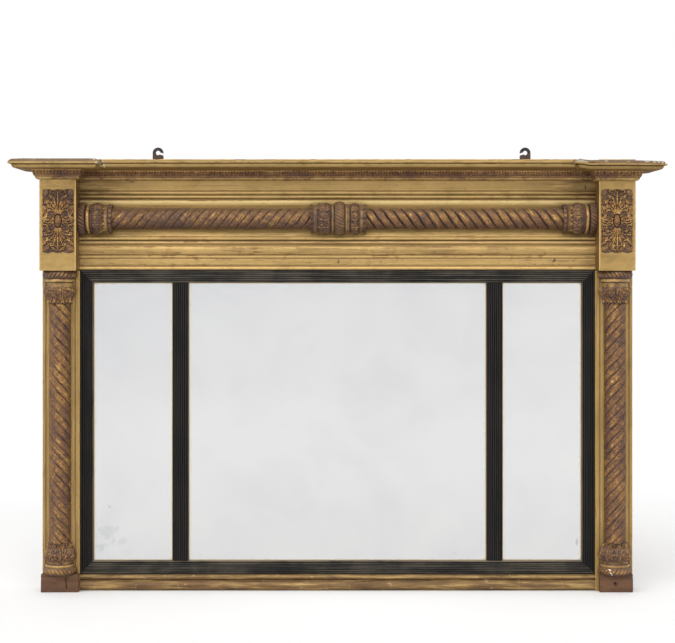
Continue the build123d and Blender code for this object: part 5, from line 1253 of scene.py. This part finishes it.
PX, PZ, PH, PE = panel_field()
for side, tag in ((-1, "left"), (1, "right")):
    nx, nz = PX.shape
    worn = 0.25 * ss(0.1, 0.8, fbm(PX / 9.0, PZ / 9.0, 140 + side))
    front = np.stack([side * ORN_X + PX, BLOCK + PH * (1 - worn * 0.4), 776.0 + PZ], -1).reshape(-1, 3)
    back = np.stack([side * ORN_X + PX, np.full_like(PX, BLOCK - 1.6), 776.0 + PZ], -1).reshape(-1, 3)
    V = np.concatenate([front, back])
    n = nx * nz
    q1 = grid_quads(nx, nz)
    q2 = q1[:, ::-1] + n
    rim = [i * nz for i in range(nx)] + [(nx - 1) * nz + j for j in range(1, nz)] + \
          [i * nz + nz - 1 for i in range(nx - 2, -1, -1)] + [j for j in range(nz - 2, 0, -1)]
    rim = np.array(rim)
    nxt = np.roll(rim, -1)
    q3 = np.stack([rim, rim + n, nxt + n, nxt], 1)
    # rim runs so that its walls agree with the front
    quads = np.concatenate([q1, q2, q3])
    quads, _ = orient(V, quads, [])
    g = 0.60 * ss(0.60, 0.84, PE) * ss(-0.1, 0.5, fbm(PX / 7.0, PZ / 7.0, 150 + side))
    edge = PE.copy()
    if side > 0:      # two tips still brightly gilt
        for bx in (-7.6, 14.4):
            tip = np.hypot(PX - bx, (PZ + 52.0) / 1.3) < 2.3
            g, edge = np.maximum(g, 1.0 * tip), np.maximum(edge, 0.85 * tip)
    piece("pier_ornament_%s_leaf" % tag, V, quads, [], COMPO_PIER, ["pier_ornament_" + tag],
          {"edge": np.concatenate([edge.ravel(), edge.ravel()]), "gilt": np.concatenate([g.ravel(), 0 * g.ravel()])}, 60)


# --------------------------------------------------- piers, boards and blocks
def upright(name, node, x0, x1, f0, f1, z0, z1, material, r=0.8, step=2.5, dz=4.0, wave=0.15, seed=1, cut=None):
    """A board standing on end: rounded arrises, uneven faces, cut(x, zf, z)
    gives how far the surface is sunk and how much darker it is there."""
    Q, N, bend, w = outline([(x0, f0), (x1, f0), (x1, f1), (x0, f1)], step, r)
    zs = np.concatenate([[z0, z0 + 0.25 * r, z0 + r], steps(z0 + r + 0.5, z1 - r - 0.5, dz), [z1 - r, z1 - 0.25 * r, z1]])
    inset = np.zeros(len(zs))
    inset[[0, -1]], inset[[1, -2]] = r, r * 0.35
    end = np.zeros(len(zs))
    end[[0, 1, -2, -1]], end[[2, -3]] = 0.30, 0.22
    V = np.zeros((len(zs), len(Q), 3))
    E = np.zeros((len(zs), len(Q)))
    for k, z in enumerate(zs):
        d = wave * fbm(z / 37.0, w / 21.0, seed) - inset[k] - 0.35 * r * ss(0.2, 0.8, fbm(z / 9.0, w / 3.0, seed + 2)) * (bend > 0.6)
        e = bend + end[k]
        if cut is not None:
            dd, ee = cut(Q[:, 0], Q[:, 1], z)
            d, e = d - dd, e - ee
        V[k, :, 0], V[k, :, 1], V[k, :, 2] = Q[:, 0] + N[:, 0] * d, Q[:, 1] + N[:, 1] * d, z
        E[k] = e
    n = len(Q)
    rows = len(zs)
    quads = grid_quads(rows, n, wrap=True)
    caps = [list(range(n - 1, -1, -1)), list(range((rows - 1) * n, rows * n))]
    V = V.reshape(-1, 3)
    quads, caps = orient(V, quads, caps)
    return piece(name, V, quads, caps, material, [node], {"edge": np.clip(E, 0, 1)})


for side, tag in ((-1, "left"), (1, "right")):
    a, b = sorted((side * X_IN, side * X_OUT))
    upright("pier_block_%s_gilt" % tag, "pier_block_" + tag, a, b, -12, BLOCK, 673.0, 904, GILT_PIER,
            0.7, 2.5, 4.0, 0.18, 160 + side,
            # the edge value drops near the cornice and off the front face: painted shade under the cornice and on the
            # side faces
            lambda x, zf, z: (0 * x, 0.16 * float(ss(800, 862, z)) * fbm(x / 9.0, z / 9.0, 163) + 0.10 * float(ss(830, 862, z))
                              + 0.14 * (zf < BLOCK - 1.5)))

    def quirks(x, zf, z):
        g = np.exp(-((np.abs(x) - 551.2) / 0.9) ** 2) + np.exp(-((np.abs(x) - 612.2) / 0.9) ** 2)
        on = (zf > -0.6)
        # the strips beside the column are darker and browner
        brown_darkening = 0.14 * np.exp(-((np.abs(x) - 609.5) / 5.0) ** 2) + 0.10 * np.exp(-((np.abs(x) - 553.4) / 1.6) ** 2)
        return 0.9 * g * on, (0.55 * g + brown_darkening) * on

    a, b = sorted((side * BOARD_IN, side * BOARD_OUT))
    upright("pilaster_board_%s_gilt" % tag, "pilaster_board_" + tag, a, b, -12, 0, 0.0, 673.0, GILT_BOARD,
            0.6, 1.1, 6.0, 0.15, 170 + side, quirks)


def split_and_bruised(x, zf, z):
    path = -567.4 + 0.7 * math.sin(z / 5.0)
    d = 4.2 * np.exp(-((x - path) / 0.75) ** 2) * (zf > 13.5) * float(ss(4, 9, z)) * float(1 - ss(30, 34, z))
    bite = 1.2 * np.clip(fbm(x / 6.0, z / 6.0, 180), 0, 1) * (zf > 13.0)
    return d + bite, d * 0.2


def nail_hole(x, zf, z):
    d = np.hypot(x - 580.6, z - 19.0)
    hole = 4.5 * (1 - ss(1.5, 2.3, d)) * (zf > 14.0)
    bite = 1.0 * np.clip(fbm(x / 6.0, z / 6.0, 183), 0, 1) * (zf > 13.0)
    return hole + bite, hole * 0.2


upright("base_block_left_bare", "base_block_left", -620.5, -541.5, 0, 15, 0, 38, BARE, 1.5, 0.8, 1.1, 0.4, 181,
        split_and_bruised)
upright("base_block_right_bare", "base_block_right", 548.4, 618.0, 0, 15, 0, 38, BARE, 1.5, 0.8, 1.1, 0.4, 184,
        nail_hole)


# ------------------------------------------------- pieces that keep their shape
def dress(material, slot_nodes):
    for n in slot_nodes:
        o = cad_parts[n]
        for k in range(max(1, len(o.material_slots))):
            if not o.material_slots:
                o.data.materials.append(material)
            o.material_slots[k].material = material


dress(PINE_Z, ["stile_left", "stile_right", "muntin_left", "muntin_right"])
dress(PINE_X, ["head_rail", "bottom_rail", "dust_board", "glazing_blocks"])
dress(PLANK, ["backboard_left", "backboard_centre", "backboard_right"])
dress(IRON, ["hanging_plate_left", "hanging_plate_right", "hanging_plate_screws", "backboard_nails"])
dress(SILVER, ["mirror_plate_left", "mirror_plate_centre", "mirror_plate_right"])

# ------------------------------------------------------------ floor and light
me = bpy.data.meshes.new("floor")
me.from_pydata([(-60, -60, 0), (60, -60, 0), (60, 60, 0), (-60, 60, 0)], [], [(0, 1, 2, 3)])
fs = Shader("studio_floor")
tone = fs.noise(1.2, 2.0, 0.5)
fs.set(Base_Color=fs.ramp(tone, [(0.3, C(245, 245, 245)), (0.7, C(248, 248, 247))]), Roughness=0.9)
fs.b.inputs["Specular IOR Level"].default_value = 0.1
me.materials.append(fs.m)
floor = bpy.data.objects.new("floor", me)
bpy.context.scene.collection.objects.link(floor)

world = bpy.data.worlds.new("studio")
bpy.context.scene.world = world
world.use_nodes = True
wt = world.node_tree
wt.nodes.clear()
wo = wt.nodes.new("ShaderNodeOutputWorld")
bg = wt.nodes.new("ShaderNodeBackground")
wt.links.new(bg.outputs[0], wo.inputs[0])
tc = wt.nodes.new("ShaderNodeTexCoord")
sp = wt.nodes.new("ShaderNodeSeparateXYZ")
wt.links.new(tc.outputs["Generated"], sp.inputs[0])


def wmath(op, *xs):
    n = wt.nodes.new("ShaderNodeMath")
    n.operation = op
    for k, x in enumerate(xs):
        if isinstance(x, (int, float)):
            n.inputs[k].default_value = x
        else:
            wt.links.new(x, n.inputs[k])
    return n.outputs[0]


def wstep(x, a, b, lo, hi):
    n = wt.nodes.new("ShaderNodeMapRange")
    n.interpolation_type = "SMOOTHSTEP"
    wt.links.new(x, n.inputs[0])
    for k, v in ((1, a), (2, b), (3, lo), (4, hi)):
        n.inputs[k].default_value = v
    return n.outputs[0]


# a white tent: even round the horizon, dimmer overhead, brighter high in front
X, Y, Z = sp.outputs
front = wstep(wmath("MULTIPLY_ADD", X, -0.35, wmath("MULTIPLY", Y, -1.0)), 0.15, 0.75, 0.0, 1.0)
high = wmath("MULTIPLY", wstep(Z, 0.24, 0.50, 0.0, 1.0), wstep(Z, 0.74, 0.92, 1.0, 0.0))
tent = wstep(Z, 0.35, 0.85, 1.0, 0.62)
wt.links.new(wmath("MULTIPLY_ADD", wmath("MULTIPLY", front, high), 2.25, tent), bg.inputs["Strength"])
bg.inputs["Color"].default_value = (1.0, 1.0, 1.0, 1.0)


def area(name, loc, target, size, size_y, watts, color=(1, 1, 1)):
    l = bpy.data.lights.new(name, "AREA")
    l.shape = "RECTANGLE"
    l.size, l.size_y, l.energy, l.color = size, size_y, watts, color
    o = bpy.data.objects.new(name, l)
    o.location = loc
    d = np.array(target, float) - np.array(loc, float)
    d /= np.linalg.norm(d)
    from mathutils import Vector
    o.rotation_euler = Vector(d).to_track_quat("-Z", "Y").to_euler()
    bpy.context.scene.collection.objects.link(o)


area("key", (-0.6, -3.4, 2.9), (0, 0, 0.6), 2.4, 1.0, 9, (1.0, 0.985, 0.96))
